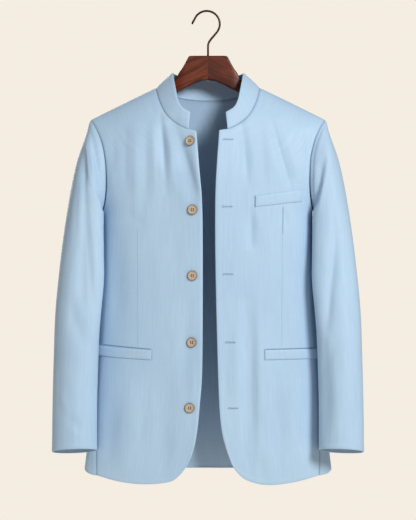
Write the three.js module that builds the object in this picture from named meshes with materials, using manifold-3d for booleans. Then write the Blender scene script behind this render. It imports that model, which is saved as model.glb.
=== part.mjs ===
// A light blue jacket with a stand collar, long sleeves and five buttons, hanging open on a wooden hanger.
// Millimetres, +Z up. The jacket faces -Y, so the wearer's left is +X. The origin is the underside of the
// hook's crown, where a rod carries the hanger.
import * as THREE from "three";
import { mergeVertices } from "three/addons/utils/BufferGeometryUtils.js";
import Module from "manifold-3d";

const wasm = await Module();
wasm.setup();

// Cloth
const SEAM_GAP = 0.3;
const CLOTH_WALL = 1.8;
const COLLAR_WALL = 2.4;
const COLLAR_BULGE = 0.8;
const WELT_WALL = 1.8;
const LAID_GAP = 0.45;

// Shoulder line: its height at the neck point, how steeply it falls, and how far it is rounded off inside
// the neck.
const NECK_POINT = { x: 101, z: -149 };
const SHOULDER_FALL = 0.497;
const SHOULDER_ROUND = 30;
const SHOULDER_TIP_X = 231;

// The cloth rolls over the shoulder line and hangs upright once it has dropped this far.
const ROLL = 150;

// Plan section of the body by height: half width, depth before and behind the middle, the middle's place,
// and how square the section is, from 2 for an ellipse.
const GIRTH = [
  { z: -150, width: 251, front: 60, back: 54, middle: 0, square: 2.7 },
  { z: -213, width: 252, front: 63, back: 56, middle: 0, square: 2.7 },
  { z: -300, width: 238, front: 67, back: 60, middle: 1, square: 2.6 },
  { z: -355, width: 219, front: 67, back: 60, middle: 2, square: 2.5 },
  { z: -391, width: 206.5, front: 66, back: 58, middle: 2, square: 2.5 },
  { z: -425, width: 206.6, front: 65, back: 56, middle: 3, square: 2.4 },
  { z: -470, width: 207, front: 63, back: 53, middle: 4, square: 2.4 },
  { z: -530, width: 208.6, front: 61, back: 51, middle: 5, square: 2.3 },
  { z: -600, width: 213.5, front: 59, back: 50, middle: 6, square: 2.2 },
  { z: -680, width: 220.5, front: 57, back: 50, middle: 7, square: 2.1 },
  { z: -780, width: 230, front: 55, back: 50, middle: 8, square: 2.1 },
  { z: -860, width: 239, front: 54, back: 50, middle: 8, square: 2.1 },
  { z: -930, width: 247, front: 54, back: 50, middle: 8, square: 2.1 },
];

// How far the two front edges stand forward, and how wide the swell is.
const EDGE_LIFT_WIDTH = 52;
const EDGE_LIFT = [
  { z: -150, lift: 0 },
  { z: -235, lift: 12 },
  { z: -320, lift: 15 },
  { z: -410, lift: 10 },
  { z: -520, lift: 6 },
  { z: -700, lift: 5 },
  { z: -930, lift: 7 },
];

// Front edges from the neck to the middle of the rounded lower corner, as distance from the centre and
// height.
const FRONT_EDGE = {
  right: [
    { x: 23, z: -240.5 },
    { x: 17, z: -306 },
    { x: 12.4, z: -370 },
    { x: 10.8, z: -440 },
    { x: 10.8, z: -600 },
    { x: 12, z: -710 },
    { x: 16.4, z: -770 },
    { x: 21.6, z: -822 },
    { x: 30, z: -862 },
    { x: 42.3, z: -890 },
  ],
  left: [
    { x: 22.3, z: -238.5 },
    { x: 17.8, z: -300 },
    { x: 14.8, z: -360 },
    { x: 14.3, z: -440 },
    { x: 15.4, z: -530 },
    { x: 18, z: -640 },
    { x: 21.8, z: -758 },
    { x: 26.2, z: -814 },
    { x: 34, z: -850 },
    { x: 45.5, z: -884 },
  ],
};

// Hem of each front from that corner to the side seam.
const FRONT_HEM = {
  right: [
    { x: 42.3, z: -890 },
    { x: 56, z: -907 },
    { x: 76, z: -919.5 },
    { x: 123, z: -924.5 },
    { x: 170, z: -921 },
    { x: 218.5, z: -910 },
  ],
  left: [
    { x: 45.5, z: -884 },
    { x: 58, z: -902 },
    { x: 79, z: -917.5 },
    { x: 118, z: -926 },
    { x: 168, z: -921.5 },
    { x: 218.5, z: -910 },
  ],
};
const SIDE_SEAM_TURN = 1.25;
const BACK_HEM_SIDE_Z = -902;
const BACK_HEM_CENTRE_Z = -905;

// Armhole: distance out at mid height, and how far it swings out to the shoulder tip and to the underarm.
const ARMHOLE = { middleX: 197, tipSwing: 34, underSwing: 9.5, underZ: -391 };

// Neck seam and the collar's top edge, from the front end (first row) to the centre back (last row).
const NECK = [
  { seamX: 38, seamZ: -236, topX: 34.4, topY: -65, topZ: -203 },
  { seamX: 59, seamZ: -225.5, topX: 50.5, topY: -62, topZ: -192.5 },
  { seamX: 79, seamZ: -208, topX: 58.5, topY: -57, topZ: -177.5 },
  { seamX: 91, seamZ: -187, topX: 62.5, topY: -49, topZ: -160 },
  { seamX: 98.5, seamZ: -165, topX: 66.5, topY: -34, topZ: -139.5 },
  { seamX: 101, seamZ: -149, topX: 69.6, topY: -10, topZ: -121.5 },
  { seamX: 88, seamZ: -156.5, topX: 66.5, topY: 10, topZ: -121 },
  { seamX: 62, seamZ: -165, topX: 54, topY: 29, topZ: -124.5 },
  { seamX: 32, seamZ: -170, topX: 30, topY: 39, topZ: -129 },
  { seamX: 0, seamZ: -171, topX: 0, topY: 42, topZ: -131 },
];
const NECK_POINT_ROW = 5;

// Sleeve rings below the armhole: outermost and innermost point, half depth, how far forward the middle
// hangs, how far the back of the ring drops for each millimetre of depth, and how far its inner front leans
// over the body's side.
const SLEEVE = [
  { outerX: 241.5, outerZ: -247, innerX: 209.4, innerZ: -398, depth: 56, forward: 0, drop: 0, lean: 10 },
  { outerX: 256.5, outerZ: -291, innerX: 209.2, innerZ: -414, depth: 57, forward: 2, drop: 0, lean: 28 },
  { outerX: 268.5, outerZ: -346, innerX: 208.6, innerZ: -439, depth: 55, forward: 6, drop: 0.02, lean: 30 },
  { outerX: 280, outerZ: -418, innerX: 208.2, innerZ: -481, depth: 52, forward: 12, drop: 0.04, lean: 34 },
  { outerX: 290, outerZ: -501, innerX: 208.4, innerZ: -535, depth: 49, forward: 19, drop: 0.07, lean: 38 },
  { outerX: 297.8, outerZ: -590, innerX: 210.8, innerZ: -602, depth: 46, forward: 27, drop: 0.1, lean: 26 },
  { outerX: 300.3, outerZ: -676, innerX: 213.4, innerZ: -677, depth: 43, forward: 34.5, drop: 0.14, lean: 8 },
  { outerX: 302, outerZ: -766, innerX: 215.4, innerZ: -762, depth: 40.5, forward: 41, drop: 0.18, lean: 0 },
  { outerX: 302.6, outerZ: -861, innerX: 215.3, innerZ: -857, depth: 38.5, forward: 47, drop: 0.22, lean: 0 },
];

// The largest folds, each a straight run seen from the front or back: ridges have a height above 0, troughs
// below.
const BODY_FOLDS = [
  { face: "front", fromX: -92, fromZ: -222, toX: -80, toZ: -312, height: -4.5, width: 13 },
  { face: "front", fromX: -70, fromZ: -226, toX: -58, toZ: -330, height: 3, width: 15 },
  { face: "front", fromX: -172, fromZ: -222, toX: -186, toZ: -318, height: -3, width: 14 },
  { face: "front", fromX: -176, fromZ: -420, toX: -176, toZ: -640, height: -3, width: 20 },
  { face: "front", fromX: -42, fromZ: -540, toX: -42, toZ: -760, height: -2.5, width: 15 },
  { face: "front", fromX: -80, fromZ: -700, toX: -92, toZ: -925, height: -3, width: 22 },
  { face: "front", fromX: -150, fromZ: -720, toX: -160, toZ: -925, height: 3.5, width: 24 },
  { face: "front", fromX: 140, fromZ: -215, toX: 167, toZ: -345, height: -3.5, width: 13 },
  { face: "front", fromX: 192, fromZ: -230, toX: 200, toZ: -305, height: -2.5, width: 10 },
  { face: "front", fromX: 77, fromZ: -225, toX: 79, toZ: -325, height: -3, width: 13 },
  { face: "front", fromX: 84, fromZ: -382, toX: 82, toZ: -470, height: -3, width: 11 },
  { face: "front", fromX: 85, fromZ: -560, toX: 87, toZ: -860, height: -5, width: 15 },
  { face: "front", fromX: 60, fromZ: -570, toX: 58, toZ: -830, height: 3, width: 14 },
  { face: "front", fromX: 108, fromZ: -590, toX: 110, toZ: -880, height: 3, width: 15 },
  { face: "front", fromX: 165, fromZ: -720, toX: 176, toZ: -925, height: 3.5, width: 24 },
  { face: "back", fromX: -150, fromZ: -225, toX: -172, toZ: -360, height: -4, width: 15 },
  { face: "back", fromX: 146, fromZ: -225, toX: 170, toZ: -350, height: -3.5, width: 14 },
  { face: "back", fromX: -70, fromZ: -480, toX: -84, toZ: -905, height: -5, width: 24 },
  { face: "back", fromX: 62, fromZ: -430, toX: 88, toZ: -905, height: -5.5, width: 26 },
  { face: "back", fromX: -14, fromZ: -600, toX: -6, toZ: -905, height: 3.5, width: 26 },
  { face: "back", fromX: 150, fromZ: -640, toX: 166, toZ: -905, height: 4, width: 22 },
  { face: "back", fromX: -146, fromZ: -560, toX: -170, toZ: -905, height: 4, width: 24 },
];
const SLEEVE_FOLDS = [
  { face: "front", fromX: -222, fromZ: -236, toX: -205, toZ: -350, height: -4, width: 8 },
  { face: "front", fromX: -240, fromZ: -270, toX: -240, toZ: -350, height: -4, width: 9 },
  { face: "front", fromX: -240, fromZ: -345, toX: -240, toZ: -600, height: -5, width: 12 },
  { face: "front", fromX: -268, fromZ: -560, toX: -236, toZ: -660, height: -3, width: 13 },
  { face: "front", fromX: -272, fromZ: -780, toX: -240, toZ: -822, height: -2.5, width: 10 },
  { face: "front", fromX: 226, fromZ: -280, toX: 205, toZ: -385, height: -4.5, width: 9 },
  { face: "front", fromX: 250, fromZ: -430, toX: 226, toZ: -640, height: -6, width: 12 },
  { face: "front", fromX: 228, fromZ: -640, toX: 226, toZ: -850, height: -3.5, width: 11 },
  { face: "front", fromX: 266, fromZ: -560, toX: 268, toZ: -850, height: 2.5, width: 16 },
  { face: "back", fromX: -228, fromZ: -250, toX: -214, toZ: -380, height: -4, width: 9 },
  { face: "back", fromX: -262, fromZ: -440, toX: -228, toZ: -600, height: -5, width: 13 },
  { face: "back", fromX: -236, fromZ: -620, toX: -262, toZ: -800, height: -3.5, width: 13 },
  { face: "back", fromX: 226, fromZ: -250, toX: 212, toZ: -375, height: -4, width: 9 },
  { face: "back", fromX: 258, fromZ: -420, toX: 232, toZ: -590, height: -5, width: 13 },
  { face: "back", fromX: 240, fromZ: -610, toX: 266, toZ: -780, height: -3.5, width: 13 },
];

// Pocket welts by their corners on the front, inner end first. The hip welts run on round the side, and rise
// a little towards it.
const CHEST_WELT = {
  innerX: 91.5,
  innerTop: -364.6,
  innerFoot: -385.6,
  outerX: 182,
  outerTop: -352.6,
  outerFoot: -374.6,
};
const HIP_WELT = {
  innerX: 110,
  top: -663,
  foot: -682,
  endBearing: THREE.MathUtils.degToRad(93),
  riseShare: 0.75,
  riseRight: 7,
  riseLeft: 1,
};

// Buttons down the wearer's right front.
const BUTTON_PLACES = [
  { x: -33.9, z: -259.6 },
  { x: -29.6, z: -391.5 },
  { x: -30, z: -518.5 },
  { x: -31.4, z: -648 },
  { x: -35.3, z: -775 },
];
const BUTTON = {
  radius: 10,
  foot: 8,
  rim: 3.2,
  dish: 2.2,
  dishRadius: 6.6,
  holeRadius: 1,
  holeRing: 2.6,
  holes: 4,
};

// Hanger: outline of one half, its thickness and how far its long edges are rounded. Past the neck its top
// follows the shoulder line just inside the cloth.
const HANGER = [
  { x: 0, top: -86.9, foot: -134.3, thick: 21, round: 3.5 },
  { x: 14, top: -86.9, foot: -135.6, thick: 21, round: 3.5 },
  { x: 30, top: -86.9, foot: -142.6, thick: 21, round: 3.5 },
  { x: 36.5, top: -87.4, foot: -146, thick: 21, round: 3.5 },
  { x: 39.3, top: -90, foot: -147.3, thick: 21, round: 3.5 },
  { x: 46, top: -103, foot: -151, thick: 21, round: 3.5 },
  { x: 51.5, top: -112.4, foot: -153.4, thick: 20.5, round: 4 },
  { x: 57, top: -119.4, foot: -156.2, thick: 19, round: 5 },
  { x: 61.5, top: -127.5, foot: -158.5, thick: 17, round: 5.8 },
  { x: 66.5, top: -134.8, foot: -161, thick: 15.5, round: 6.2 },
  { x: 74, top: -140.6, foot: -165.5, thick: 14.6, round: 6.2 },
  { x: 86, top: -148.6, foot: -172.5, thick: 14.2, round: 6.2 },
  { x: 98, top: -155.4, foot: -179.5, thick: 14, round: 6.2 },
];
const HANGER_UNDER_CLOTH = 3.1;
const HANGER_ARM = {
  fromX: 112,
  toX: 213,
  stations: 6,
  height: 28,
  heightAtEnd: 22,
  thick: 14,
  thickAtEnd: 13,
  round: 6,
};
const HANGER_END = { x: 218, share: 0.55 };

// Hook: bent wire with a round loop that opens towards the wearer's right and ends in a straight tip.
const HOOK = {
  wire: 4.2,
  loop: 25.7,
  centreX: -2.6,
  tipRun: 14,
  tipAngle: THREE.MathUtils.degToRad(152),
  leaveAngle: THREE.MathUtils.degToRad(-38),
  leaveRun: 18,
  stemRun: 9,
  stemTop: -67,
  stemFoot: -86.6,
  sides: 10,
  steps: 44,
};

// Cells of the pieces
const CELLS = {
  edgeToNeck: 1,
  neck: 8,
  backNeck: 6,
  shoulder: 13,
  sideSeam: 19,
  armhole: 11,
  sleeve: 18,
  collar: 3,
};
const EDGE_CROWDING = 1.2;
const HEM_SHAPE_FADE = 3;
const BEARING_STEP = 0.002;
const FALL_STEP = 0.4;

const blueCloth = new THREE.MeshStandardMaterial({ color: 0xa9cce8, roughness: 0.78, metalness: 0 });
const buttonHorn = new THREE.MeshStandardMaterial({ color: 0xa89b90, roughness: 0.45, metalness: 0 });
const walnut = new THREE.MeshStandardMaterial({ color: 0x5e2c1c, roughness: 0.42, metalness: 0 });
const bronzeWire = new THREE.MeshStandardMaterial({ color: 0x5a4236, roughness: 0.35, metalness: 0.9 });

// Tables and curves

// One column of a table at a place along another, by a smooth curve through its rows.
function smooth(rows, axis, name, at) {
  const last = rows.length - 1;
  const sense = Math.sign(rows[last][axis] - rows[0][axis]);
  if ((at - rows[0][axis]) * sense <= 0) return rows[0][name];
  if ((at - rows[last][axis]) * sense >= 0) return rows[last][name];
  let row = 0;
  while ((at - rows[row + 1][axis]) * sense > 0) row += 1;
  const slope = (k) => {
    const before = rows[Math.max(k - 1, 0)];
    const after = rows[Math.min(k + 1, last)];
    return (after[name] - before[name]) / (after[axis] - before[axis]);
  };
  const span = rows[row + 1][axis] - rows[row][axis];
  const t = (at - rows[row][axis]) / span;
  const start = rows[row][name];
  const end = rows[row + 1][name];
  const leave = slope(row) * span;
  const arrive = slope(row + 1) * span;
  return (
    start * (1 + 2 * t) * (1 - t) ** 2 +
    leave * t * (1 - t) ** 2 +
    end * t * t * (3 - 2 * t) +
    arrive * t * t * (t - 1)
  );
}

// A smooth curve through points, evaluated by the share of its rows passed.
function curveThrough(points) {
  return new THREE.CatmullRomCurve3(points, false, "catmullrom", 0.5);
}

// Points along a smooth curve through rows of x and z, equally spaced or crowded towards its start.
function spacedRows(rows, cells, crowding = 1) {
  const curve = curveThrough(rows.map((row) => new THREE.Vector3(row.x, 0, row.z)));
  return Array.from({ length: cells + 1 }, (_, k) => curve.getPointAt((k / cells) ** crowding));
}

function lerp(a, b, t) {
  return a + (b - a) * t;
}

// Body form

function girth(name, z) {
  return smooth(GIRTH, "z", name, z);
}

// Height of the shoulder line at a distance from the centre.
function shoulderLine(x) {
  const reach = Math.hypot(x, SHOULDER_ROUND) - Math.hypot(NECK_POINT.x, SHOULDER_ROUND);
  return NECK_POINT.z - SHOULDER_FALL * reach;
}

// Distance down the cloth from the shoulder line for a drop in height, and back.
function fallFor(drop) {
  return drop < ROLL ? ROLL * Math.acos(1 - drop / ROLL) : drop + ROLL * (Math.PI / 2 - 1);
}

function dropAfter(fall) {
  return fall < (ROLL * Math.PI) / 2 ? ROLL * (1 - Math.cos(fall / ROLL)) : fall - ROLL * (Math.PI / 2 - 1);
}

// Share of the full depth that the cloth has reached after a fall.
function rollAfter(fall) {
  return Math.sin(Math.min(fall / ROLL, Math.PI / 2));
}

// Point of a unit plan section at a bearing, which is 0 at the front and positive to the wearer's left.
function planPoint(bearing, square) {
  const sine = Math.sin(bearing);
  const cosine = Math.cos(bearing);
  const reach = (Math.abs(sine) ** square + Math.abs(cosine) ** square) ** (-1 / square);
  return { across: sine * reach, ahead: cosine * reach };
}

// Bearing on the front at which the body lies at a distance from the centre.
function bearingAt(x, z) {
  const square = girth("square", z);
  const share = Math.min(x / girth("width", z), 1);
  return Math.atan2(share, (1 - share ** square) ** (1 / square));
}

function fallTo(x, z) {
  return fallFor(Math.max(shoulderLine(x) - z, 0));
}

// A place on the cloth: bearing and fall.
function place(side, face, x, z) {
  const front = bearingAt(x, z);
  return new THREE.Vector2(side * (face === "front" ? front : Math.PI - front), fallTo(x, z));
}

// A place on the cloth at a bearing and a height.
function placeAtBearing(side, bearing, z) {
  const x = Math.abs(girth("width", z) * planPoint(bearing, girth("square", z)).across);
  return new THREE.Vector2(side * bearing, fallTo(x, z));
}

// Height of all folds of a table at a point seen from the front or back.
function foldHeight(folds, face, x, z) {
  let height = 0;
  for (const fold of folds) {
    if (fold.face !== face) continue;
    const runX = fold.toX - fold.fromX;
    const runZ = fold.toZ - fold.fromZ;
    const length = Math.hypot(runX, runZ);
    const along = ((x - fold.fromX) * runX + (z - fold.fromZ) * runZ) / length ** 2;
    if (along <= 0 || along >= 1) continue;
    const off = ((x - fold.fromX) * runZ - (z - fold.fromZ) * runX) / length;
    height += fold.height * Math.sin(Math.PI * along) ** 0.8 * Math.exp(-((off / fold.width) ** 2));
  }
  return height;
}

function gentleStep(value, full) {
  const t = THREE.MathUtils.clamp(value / full, 0, 1);
  return t * t * (3 - 2 * t);
}

// The body's cloth without its folds, with how squarely it faces the front or back and its share of the roll.
function plainBody(bearing, fall) {
  const drop = dropAfter(Math.max(fall, 0));
  const roll = rollAfter(Math.max(fall, 0));
  let z = shoulderLine(0) - drop;
  let point = planPoint(bearing, 2);
  let x = 0;
  for (let pass = 0; pass < 8; pass += 1) {
    point = planPoint(bearing, girth("square", z));
    x = girth("width", z) * point.across;
    z = shoulderLine(x) - drop;
  }
  const depth = point.ahead > 0 ? girth("front", z) : girth("back", z);
  const swell = Math.exp(-((x / EDGE_LIFT_WIDTH) ** 2)) * gentleStep(point.ahead, 0.5);
  const y = girth("middle", z) - depth * point.ahead * roll - smooth(EDGE_LIFT, "z", "lift", z) * swell;
  return { point: new THREE.Vector3(x, y, z), ahead: point.ahead, roll };
}

// Outward normal of a surface function of bearing and fall, by differences.
function normalOf(surface, bearing, fall) {
  const across = surface(bearing + BEARING_STEP, fall).sub(surface(bearing - BEARING_STEP, fall));
  const down = surface(bearing, fall + FALL_STEP).sub(surface(bearing, fall - FALL_STEP));
  return down.cross(across).normalize();
}

// The body's cloth with its folds, and its outward normal.
function body(bearing, fall) {
  const bare = plainBody(bearing, fall);
  const fold = foldHeight(BODY_FOLDS, bare.ahead > 0 ? "front" : "back", bare.point.x, bare.point.z);
  if (fold === 0) return bare.point;
  const normal = normalOf((b, f) => plainBody(b, f).point, bearing, fall);
  return bare.point.addScaledVector(normal, fold * bare.roll * gentleStep(Math.abs(bare.ahead), 0.35));
}

function bodyNormal(bearing, fall) {
  return normalOf(body, bearing, fall);
}

// Grids and walls

// Places inside four borders, each an array of places: bottom and top run across, left and right run up.
// The shape of the bottom border dies out faster than that of the top one, so that the rows pass level under
// the armholes.
function coons(bottom, top, left, right) {
  const columns = bottom.length - 1;
  const rows = left.length - 1;
  const grid = [];
  for (let j = 0; j <= rows; j += 1) {
    const v = 1 - (1 - j / rows) ** HEM_SHAPE_FADE;
    const line = [];
    for (let i = 0; i <= columns; i += 1) {
      const u = i / columns;
      const blend = (name) =>
        lerp(bottom[i][name], top[i][name], v) +
        lerp(left[j][name], right[j][name], u) -
        lerp(
          lerp(bottom[0][name], bottom[columns][name], u),
          lerp(top[0][name], top[columns][name], u),
          v,
        );
      line.push(new THREE.Vector2(blend("x"), blend("y")));
    }
    grid.push(line);
  }
  return grid;
}

// Normals of a grid of points, by differences between neighbours. A ring's rows close on themselves.
function gridNormals(points, ring) {
  return points.map((line, j) =>
    line.map((_, i) => {
      const count = line.length;
      const before = ring ? line[(i - 1 + count) % count] : line[Math.max(i - 1, 0)];
      const after = ring ? line[(i + 1) % count] : line[Math.min(i + 1, count - 1)];
      const under = points[Math.max(j - 1, 0)][i];
      const over = points[Math.min(j + 1, points.length - 1)][i];
      return after.clone().sub(before).cross(over.clone().sub(under)).normalize();
    }),
  );
}

// Points moved along directions.
function moved(points, directions, distance) {
  return points.map((line, j) =>
    line.map((point, i) => point.clone().addScaledVector(directions[j][i], distance)),
  );
}

// A closed wall between an outer and an inner grid. A ring's rows close on themselves.
function wallGeometry(outer, inner, ring) {
  const rows = outer.length;
  const columns = outer[0].length;
  const layer = rows * columns;
  const corners = [...outer.flat(), ...inner.flat()];
  const positions = corners.flatMap((point) => point.toArray());
  const index = [];
  const quad = (a, b, c, d) => {
    if (corners[a].distanceTo(corners[c]) <= corners[b].distanceTo(corners[d])) index.push(a, b, c, a, c, d);
    else index.push(a, b, d, b, c, d);
  };
  const at = (j, i) => j * columns + (i % columns);
  const lastColumn = ring ? columns : columns - 1;
  for (let j = 0; j < rows - 1; j += 1) {
    for (let i = 0; i < lastColumn; i += 1) {
      quad(at(j, i), at(j, i + 1), at(j + 1, i + 1), at(j + 1, i));
      quad(layer + at(j, i), layer + at(j + 1, i), layer + at(j + 1, i + 1), layer + at(j, i + 1));
    }
  }
  for (let i = 0; i < lastColumn; i += 1) {
    quad(at(0, i + 1), at(0, i), layer + at(0, i), layer + at(0, i + 1));
    quad(at(rows - 1, i), at(rows - 1, i + 1), layer + at(rows - 1, i + 1), layer + at(rows - 1, i));
  }
  if (!ring) {
    for (let j = 0; j < rows - 1; j += 1) {
      quad(at(j, 0), at(j + 1, 0), layer + at(j + 1, 0), layer + at(j, 0));
      quad(
        at(j + 1, columns - 1),
        at(j, columns - 1),
        layer + at(j, columns - 1),
        layer + at(j + 1, columns - 1),
      );
    }
  }
  const geometry = new THREE.BufferGeometry();
  geometry.setAttribute("position", new THREE.Float32BufferAttribute(positions, 3));
  geometry.setIndex(signedVolume(positions, index) < 0 ? reversed(index) : index);
  geometry.computeVertexNormals();
  return geometry;
}

function signedVolume(positions, index) {
  const corner = (k) => new THREE.Vector3().fromArray(positions, 3 * index[k]);
  let volume = 0;
  for (let k = 0; k < index.length; k += 3) volume += corner(k).dot(corner(k + 1).cross(corner(k + 2)));
  return volume;
}

function reversed(index) {
  const turned = [];
  for (let k = 0; k < index.length; k += 3) turned.push(index[k], index[k + 2], index[k + 1]);
  return turned;
}

function namedMesh(name, geometry, material) {
  const mesh = new THREE.Mesh(geometry, material);
  mesh.name = name;
  return mesh;
}

// Panels

// A cloth panel over a grid of places, drawn back by half a seam gap along the borders that are sewn.
function panelGeometry(places, sewn) {
  const points = places.map((line) => line.map((at) => body(at.x, at.y)));
  const normals = places.map((line) => line.map((at) => bodyNormal(at.x, at.y)));
  const rows = points.length - 1;
  const columns = points[0].length - 1;
  const drawn = points.map((line) => line.map((point) => point.clone()));
  const drawBack = (j, i, along, inward) => {
    const normal = normals[j][i];
    const direction = inward.clone().sub(points[j][i]);
    direction.addScaledVector(normal, -direction.dot(normal));
    const seam = along.normalize();
    direction.addScaledVector(seam, -direction.dot(seam)).normalize();
    drawn[j][i].addScaledVector(direction, SEAM_GAP / 2);
  };
  for (let i = 0; i <= columns; i += 1) {
    if (!sewn.top) continue;
    const along = points[rows][Math.min(i + 1, columns)].clone().sub(points[rows][Math.max(i - 1, 0)]);
    drawBack(rows, i, along, points[rows - 1][i]);
  }
  for (let j = 0; j <= rows; j += 1) {
    const next = Math.min(j + 1, rows);
    const last = Math.max(j - 1, 0);
    const alongBorder = (i) => points[next][i].clone().sub(points[last][i]);
    if (sewn.left) drawBack(j, 0, alongBorder(0), points[j][1]);
    if (sewn.right) drawBack(j, columns, alongBorder(columns), points[j][columns - 1]);
  }
  return wallGeometry(drawn, moved(drawn, normals, -CLOTH_WALL), false);
}

// Neck seam all round, from the wearer's left front end over the back to the right one.
const mirroredRow = (row) => ({ ...row, seamX: -row.seamX, topX: -row.topX });
const neckRows = [...NECK, ...NECK.slice(0, -1).reverse().map(mirroredRow)];
const neckSeam = curveThrough(neckRows.map((row) => new THREE.Vector3(row.seamX, 0, row.seamZ)));
const collarTop = curveThrough(neckRows.map((row) => new THREE.Vector3(row.topX, row.topY, row.topZ)));
const NECK_LAST = neckRows.length - 1;
const BACK_CENTRE_ROW = NECK_LAST / 2;

// Rows of the neck table at which the cells of the front and back neck begin, on the wearer's left.
const frontNeckRows = Array.from({ length: CELLS.neck + 1 }, (_, k) => (NECK_POINT_ROW * k) / CELLS.neck);
const backNeckRows = Array.from({ length: CELLS.backNeck + 1 }, (_, k) =>
  lerp(NECK_POINT_ROW, BACK_CENTRE_ROW, k / CELLS.backNeck),
);

function neckPlace(row) {
  const seam = neckSeam.getPoint(row / NECK_LAST);
  const left = row <= BACK_CENTRE_ROW;
  const rowsFromEnd = left ? row : NECK_LAST - row;
  const face = rowsFromEnd <= NECK_POINT_ROW ? "front" : "back";
  return place(left ? 1 : -1, face, Math.abs(seam.x), seam.z);
}

function shoulderPlaces(side, face) {
  return Array.from({ length: CELLS.shoulder + 1 }, (_, k) => {
    const x = lerp(NECK_POINT.x, SHOULDER_TIP_X, k / CELLS.shoulder);
    return place(side, face, x, shoulderLine(x));
  });
}

// Place on the armhole at a turn from the shoulder tip (0) over the front or back to the underarm (half a
// turn).
function armholePlace(side, face, turn) {
  const share = (1 - Math.cos(turn)) / 2;
  const swing = ARMHOLE.tipSwing * (1 - share) ** 4 + ARMHOLE.underSwing * share ** 8;
  const z = lerp(shoulderLine(SHOULDER_TIP_X), ARMHOLE.underZ, share);
  return place(side, face, ARMHOLE.middleX + swing, z);
}

function armholePlaces(side, face) {
  const turnAt = (k) => (Math.PI * k) / CELLS.armhole;
  return Array.from({ length: CELLS.armhole + 1 }, (_, k) => armholePlace(side, face, turnAt(k)));
}

// Side seam from the hem up to the underarm. It lies on the front at the hem and turns out to the side.
function sideSeamPlaces(side) {
  const foot = FRONT_HEM.left.at(-1);
  const footBearing = bearingAt(foot.x, foot.z);
  return Array.from({ length: CELLS.sideSeam + 1 }, (_, k) => {
    const down = 1 - k / CELLS.sideSeam;
    const bearing = Math.PI / 2 - (Math.PI / 2 - footBearing) * down ** SIDE_SEAM_TURN;
    return placeAtBearing(side, bearing, lerp(ARMHOLE.underZ, foot.z, down));
  });
}

function frontGeometry(side, sideName) {
  const edgeCells = CELLS.sideSeam + CELLS.armhole - CELLS.edgeToNeck - CELLS.neck;
  const toPlace = (point) => place(side, "front", point.x, point.z);
  const edge = spacedRows([...FRONT_EDGE[sideName]].reverse(), edgeCells, EDGE_CROWDING).map(toPlace);
  const bottom = spacedRows(FRONT_HEM[sideName], CELLS.shoulder).map(toPlace);
  const neck = frontNeckRows.map((row) => neckPlace(side > 0 ? row : NECK_LAST - row));
  const left = [...edge, ...neck];
  const right = [...sideSeamPlaces(side), ...armholePlaces(side, "front").reverse().slice(1)];
  return panelGeometry(coons(bottom, shoulderPlaces(side, "front"), left, right), {
    top: true,
    left: true,
    right: true,
  });
}

function backGeometry() {
  // Bearings run on past the centre back, so the right side counts from a full turn down.
  const pastCentre = (at) => new THREE.Vector2(2 * Math.PI + at.x, at.y);
  const neck = backNeckRows.map(neckPlace);
  const acrossCentre = (row) => pastCentre(neckPlace(NECK_LAST - row));
  const neckRight = backNeckRows.slice(1, -1).map(acrossCentre).reverse();
  const shoulder = shoulderPlaces(1, "back").reverse();
  const shoulderRight = shoulderPlaces(-1, "back").map(pastCentre);
  const top = [...shoulder, ...neck.slice(1), ...neckRight, ...shoulderRight];
  const left = [...sideSeamPlaces(1), ...armholePlaces(1, "back").reverse().slice(1)];
  const right = [...sideSeamPlaces(-1), ...armholePlaces(-1, "back").reverse().slice(1)].map(pastCentre);
  const cells = top.length - 1;
  const seamZ = FRONT_HEM.left.at(-1).z;
  const bottom = top.map((_, k) => {
    const bearing = lerp(left[0].x, right[0].x, k / cells);
    const fromCentre = Math.abs(bearing - Math.PI);
    const flank = gentleStep(fromCentre - Math.PI / 2, Math.PI - left[0].x - Math.PI / 2);
    const sideZ = lerp(BACK_HEM_SIDE_Z, seamZ, flank);
    const z = lerp(BACK_HEM_CENTRE_Z, sideZ, gentleStep(fromCentre, Math.PI / 2));
    const at = placeAtBearing(1, Math.PI - fromCentre, z);
    return new THREE.Vector2(bearing, at.y);
  });
  return panelGeometry(coons(bottom, top, left, right), { top: true, left: true, right: true });
}

// Direction in which a second piece leaves a seam, and the direction of its wall that keeps off the first
// piece.
function wallBeside(normal, outgoing) {
  return normal.clone().addScaledVector(outgoing, -Math.max(0, normal.dot(outgoing))).normalize();
}

// Places round the whole armhole with the direction out of the body's cloth at each.
function armholeRing(side) {
  const turns = Array.from({ length: 2 * CELLS.armhole }, (_, k) => (Math.PI * k) / CELLS.armhole);
  const pointAt = (turn) => {
    const front = turn <= Math.PI;
    const at = armholePlace(side, front ? "front" : "back", front ? turn : 2 * Math.PI - turn);
    return { at, point: body(at.x, at.y) };
  };
  return turns.map((turn) => {
    const here = pointAt(turn);
    const normal = bodyNormal(here.at.x, here.at.y);
    const step = 0.02;
    const next = pointAt((turn + step) % (2 * Math.PI)).point;
    const last = pointAt((turn - step + 2 * Math.PI) % (2 * Math.PI)).point;
    const outgoing = normal.clone().cross(next.sub(last)).multiplyScalar(side).normalize();
    return { turn, point: here.point.clone().addScaledVector(outgoing, SEAM_GAP / 2), outgoing };
  });
}

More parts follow.
